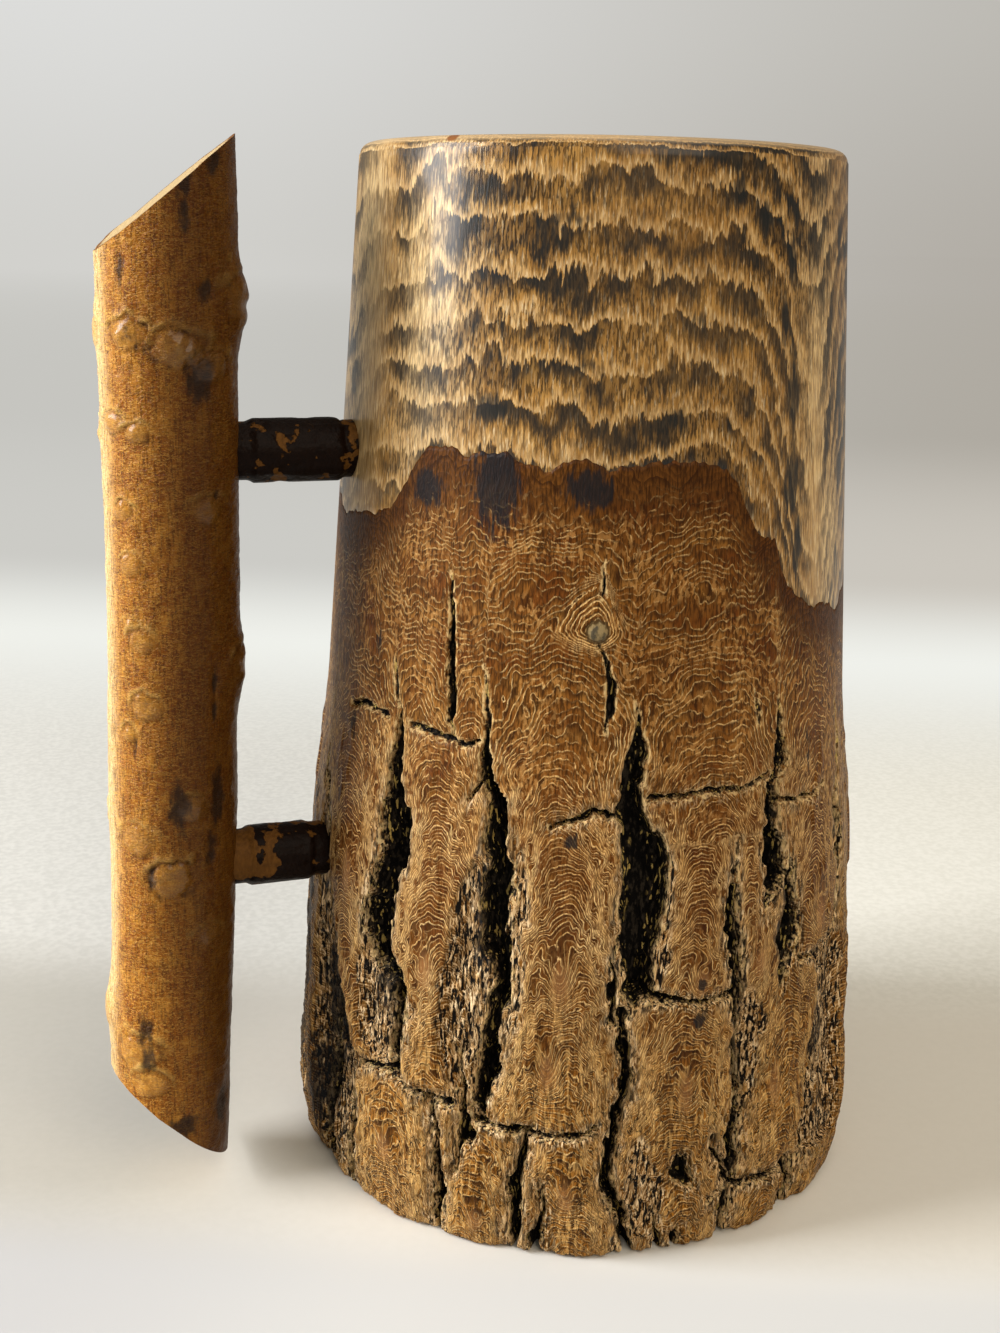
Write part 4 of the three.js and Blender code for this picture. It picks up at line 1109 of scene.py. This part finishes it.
def make_peg(name, node, height, bare_band):
    low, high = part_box(node)
    cup_shoulder = turned_radius(height) + SHOULDER_INSET
    handle_shoulder = handle_offset(height) - HANDLE_RADIUS - SHOULDER_INSET
    body_rows = np.linspace(cup_shoulder + SHOULDER_CREST, handle_shoulder - SHOULDER_CREST, PEG_ROWS)
    along = np.array([-high.x / METRE, cup_shoulder, *body_rows, handle_shoulder, -low.x / METRE])[:, None]
    turn = np.broadcast_to(np.arange(0, TURN, PEG_STEP_DEG), (len(along), TURN // PEG_STEP_DEG))
    along = along + 0 * turn
    across, upward = np.cos(np.radians(turn)), np.sin(np.radians(turn))
    near_cup, near_handle = along - cup_shoulder, handle_shoulder - along

    def between(run):
        return smooth(0, run, near_cup) * smooth(0, run, near_handle)

    body = between(SHOULDER_CHAMFER)
    radius = TENON_RADIUS + (PEG_RADIUS - TENON_RADIUS) * body
    spot = np.stack([along, radius * across, radius * upward + height], -1)
    chips = np.maximum(0, noise(spot, (5, 3, 3), 81) - 0.1)
    whittled = PEG_FACET_DEPTH * np.cos(np.radians(turn * PEG_FACETS + PEG_FACET_TURN_DEG)) * body
    radius = radius - whittled - between(1) * (0.7 * chips + 0.14 * rough_noise(spot, 1.6, 82))
    radius = np.minimum(radius, PEG_RADIUS)
    skin = np.stack([-along, radius * across, height + radius * upward], -1)
    ends = [np.broadcast_to(skin[k].mean(0), skin[:1].shape) for k in (0, -1)]
    rings = np.concatenate([ends[0], skin, ends[1]])
    share = near_cup / (handle_shoulder - cup_shoulder)
    band = bare_band * bell((share - 0.55 + 0.12 * across) / 0.14)
    band = np.maximum(band, bare_band * smooth(0.82, 0.95, share)) * smooth(-0.9, -0.3, upward)
    fields = {
        key: np.concatenate([values[:1], values, values[-1:]])
        for key, values in (("worn", chips), ("bare", band))
    }
    dress(ring_mesh(name, rings, fields, peg_finish()), node)


# The stage: a pale floor that, away from the stein, turns into a glowing backdrop all round, with painted
# light and shade graded across it. The room's right and its depth are those of the photograph.
ROOM_TURN_DEG = -23
ROOM_RIGHT = (math.cos(math.radians(ROOM_TURN_DEG)), math.sin(math.radians(ROOM_TURN_DEG)), 0)
ROOM_AHEAD = (-ROOM_RIGHT[1], ROOM_RIGHT[0], 0)
HORIZON = ("d2d1cd", "b0aba3")
SIDE_SPREAD = 0.33
FLOOR_REACH_METRES = 30.0

# The backdrop's painted light and shade, lighter on the left and nearer the stein: (where it starts to show,
# where it is full, its colour on the left, on the right)
BACKDROP = [(450, 700, "cccbc6", "cac5bc"), (700, 1600, "c6c5c0", "afaaa1"), (1600, 9000, *HORIZON)]


def make_floor():
    mesh = bpy.data.meshes.new("floor")
    corners = np.array([(-1, -1, 0), (1, -1, 0), (1, 1, 0), (-1, 1, 0)]) * FLOOR_REACH_METRES
    mesh.from_pydata(corners.tolist(), [], [(0, 1, 2, 3)])
    floor = linked("floor", mesh)
    f = Finish("floor")
    across = f.vector("DOT_PRODUCT", f.place, ROOM_RIGHT)
    depth = f.vector("DOT_PRODUCT", f.place, ROOM_AHEAD)
    far = f.most(f.math("ABSOLUTE", depth), f.times(f.math("ABSOLUTE", across), 0.6))
    speck = f.marks(2.2, 90, 6, 0.3, 0.7)
    # Painted shade on the floor: darker to the left, where lit is low, in a strip at the front, and in a band
    # across the floor at the stein's depth, most of all on the left.
    lit = f.rise(across, -125, -30)
    f.base = f.mix(lit, f.mix(speck, "c0bfb8", "cccbc4"), f.mix(speck, "d6d5cb", "e0dfd6"))
    f.lay(f.rise(depth, -40, -78), f.mix(lit, "b3b4b4", "c4c5c3"))
    beside = f.times(f.rise(depth, 92, 40), f.rise(depth, -84, -46))
    f.lay(beside, f.mix(lit, "a8a59b", "d5d0c4"), 0.85)
    ground = f.node("BsdfPrincipled", {"Base Color": f.base, "Roughness": 0.7})
    side = f.rise(f.math("DIVIDE", across, far), -SIDE_SPREAD, SIDE_SPREAD)
    shade = "f0f1eb"
    for start, full, left, right in BACKDROP:
        shade = f.mix(f.rise(far, start, full), shade, f.mix(side, left, right))
    # Painted light: camera and glossy rays see the far floor glow in the backdrop's graded shades.
    glow = f.node("Emission", {"Color": shade})
    seen = f.node("LightPath")
    rays = f.most(seen["Is Camera Ray"], seen["Is Glossy Ray"])
    f.either(f.times(f.rise(far, 240, 480), rays), ground[0], glow[0])
    mesh.materials.append(f.owner)


def make_world():
    f = Finish("studio", bpy.data.worlds, "OutputWorld")
    bpy.context.scene.world = f.owner
    light = f.node("Background", {"Color": "f3eee4", "Strength": 0.3})
    side = f.rise(f.vector("DOT_PRODUCT", f.spot, ROOM_RIGHT), -SIDE_SPREAD, SIDE_SPREAD)
    up = f.vector("DOT_PRODUCT", f.spot, (0, 0, 1))
    # Painted light and shade on the backdrop that the camera sees: lighter on the left, and lighter upwards.
    sky = f.mix(f.rise(up, -0.02, 0.15), f.mix(side, *HORIZON), f.mix(side, "dddddb", "bbb8b1"))
    seen = f.node("Background", {"Color": sky})
    f.either(f.node("LightPath")["Is Camera Ray"], light[0], seen[0])


# The camera, nearly level with the rim and close, as in the photograph
CAMERA_DISTANCE = 374.1
CAMERA_HEIGHT = 220.4
CAMERA_PITCH_DEG = 15.264
CAMERA_YAW_DEG = -3.157
CAMERA_ROLL_DEG = 1.215
CAMERA_LENS = 42.48
CAMERA_CLIP_METRES = 0.01


def rotation(degrees, axis):
    return Matrix.Rotation(math.radians(degrees), 4, axis)


def make_camera():
    data = bpy.data.cameras.new("camera")
    data.lens = CAMERA_LENS
    data.clip_start = CAMERA_CLIP_METRES
    camera = linked("camera", data)
    place = Matrix.Translation(Vector((0, -CAMERA_DISTANCE, CAMERA_HEIGHT)) * METRE)
    aim = rotation(-CAMERA_YAW_DEG, "Z") @ rotation(90 - CAMERA_PITCH_DEG, "X")
    camera.matrix_world = rotation(ROOM_TURN_DEG, "Z") @ place @ aim @ rotation(CAMERA_ROLL_DEG, "Z")
    bpy.context.scene.camera = camera


# Lamps that look at the middle of the stein: (name, azimuth from the front, elevation, distance in metres,
# width and height in metres, watts, tint)
LAMPS = [
    ("window", -99, 24, 1.3, (0.55, 0.8), 31, "fafbff"),
    ("front", 6, 36, 1.5, (1.0, 0.8), 11, "fff0dc"),
    ("above", 40, 72, 1.4, (1.0, 1.0), 7, "fff8ee"),
]


def make_lamp(name, azimuth, elevation, distance, size, power, tint):
    data = bpy.data.lights.new(name, "AREA")
    data.shape = "RECTANGLE"
    data.size, data.size_y = size
    data.energy = power
    data.color = colour(tint)[:3]
    lamp = linked(name, data)
    a, e = math.radians(azimuth), math.radians(elevation)
    away = Vector((math.sin(a) * math.cos(e), -math.cos(a) * math.cos(e), math.sin(e)))
    lamp.location = Vector((0, 0, CUP_HEIGHT / 2 * METRE)) + away * distance
    lamp.rotation_euler = away.to_track_quat("Z", "Y").to_euler()


def main():
    make_bark()
    make_cup()
    make_handle()
    make_peg("peg_upper", "upper_peg", LOWER_PEG_HEIGHT + PEG_SPACING, 0)
    make_peg("peg_lower", "lower_peg", LOWER_PEG_HEIGHT, 0.2)
    make_floor()
    make_world()
    make_camera()
    for lamp in LAMPS:
        make_lamp(*lamp)
    bpy.context.scene.view_settings.view_transform = "Standard"


main()
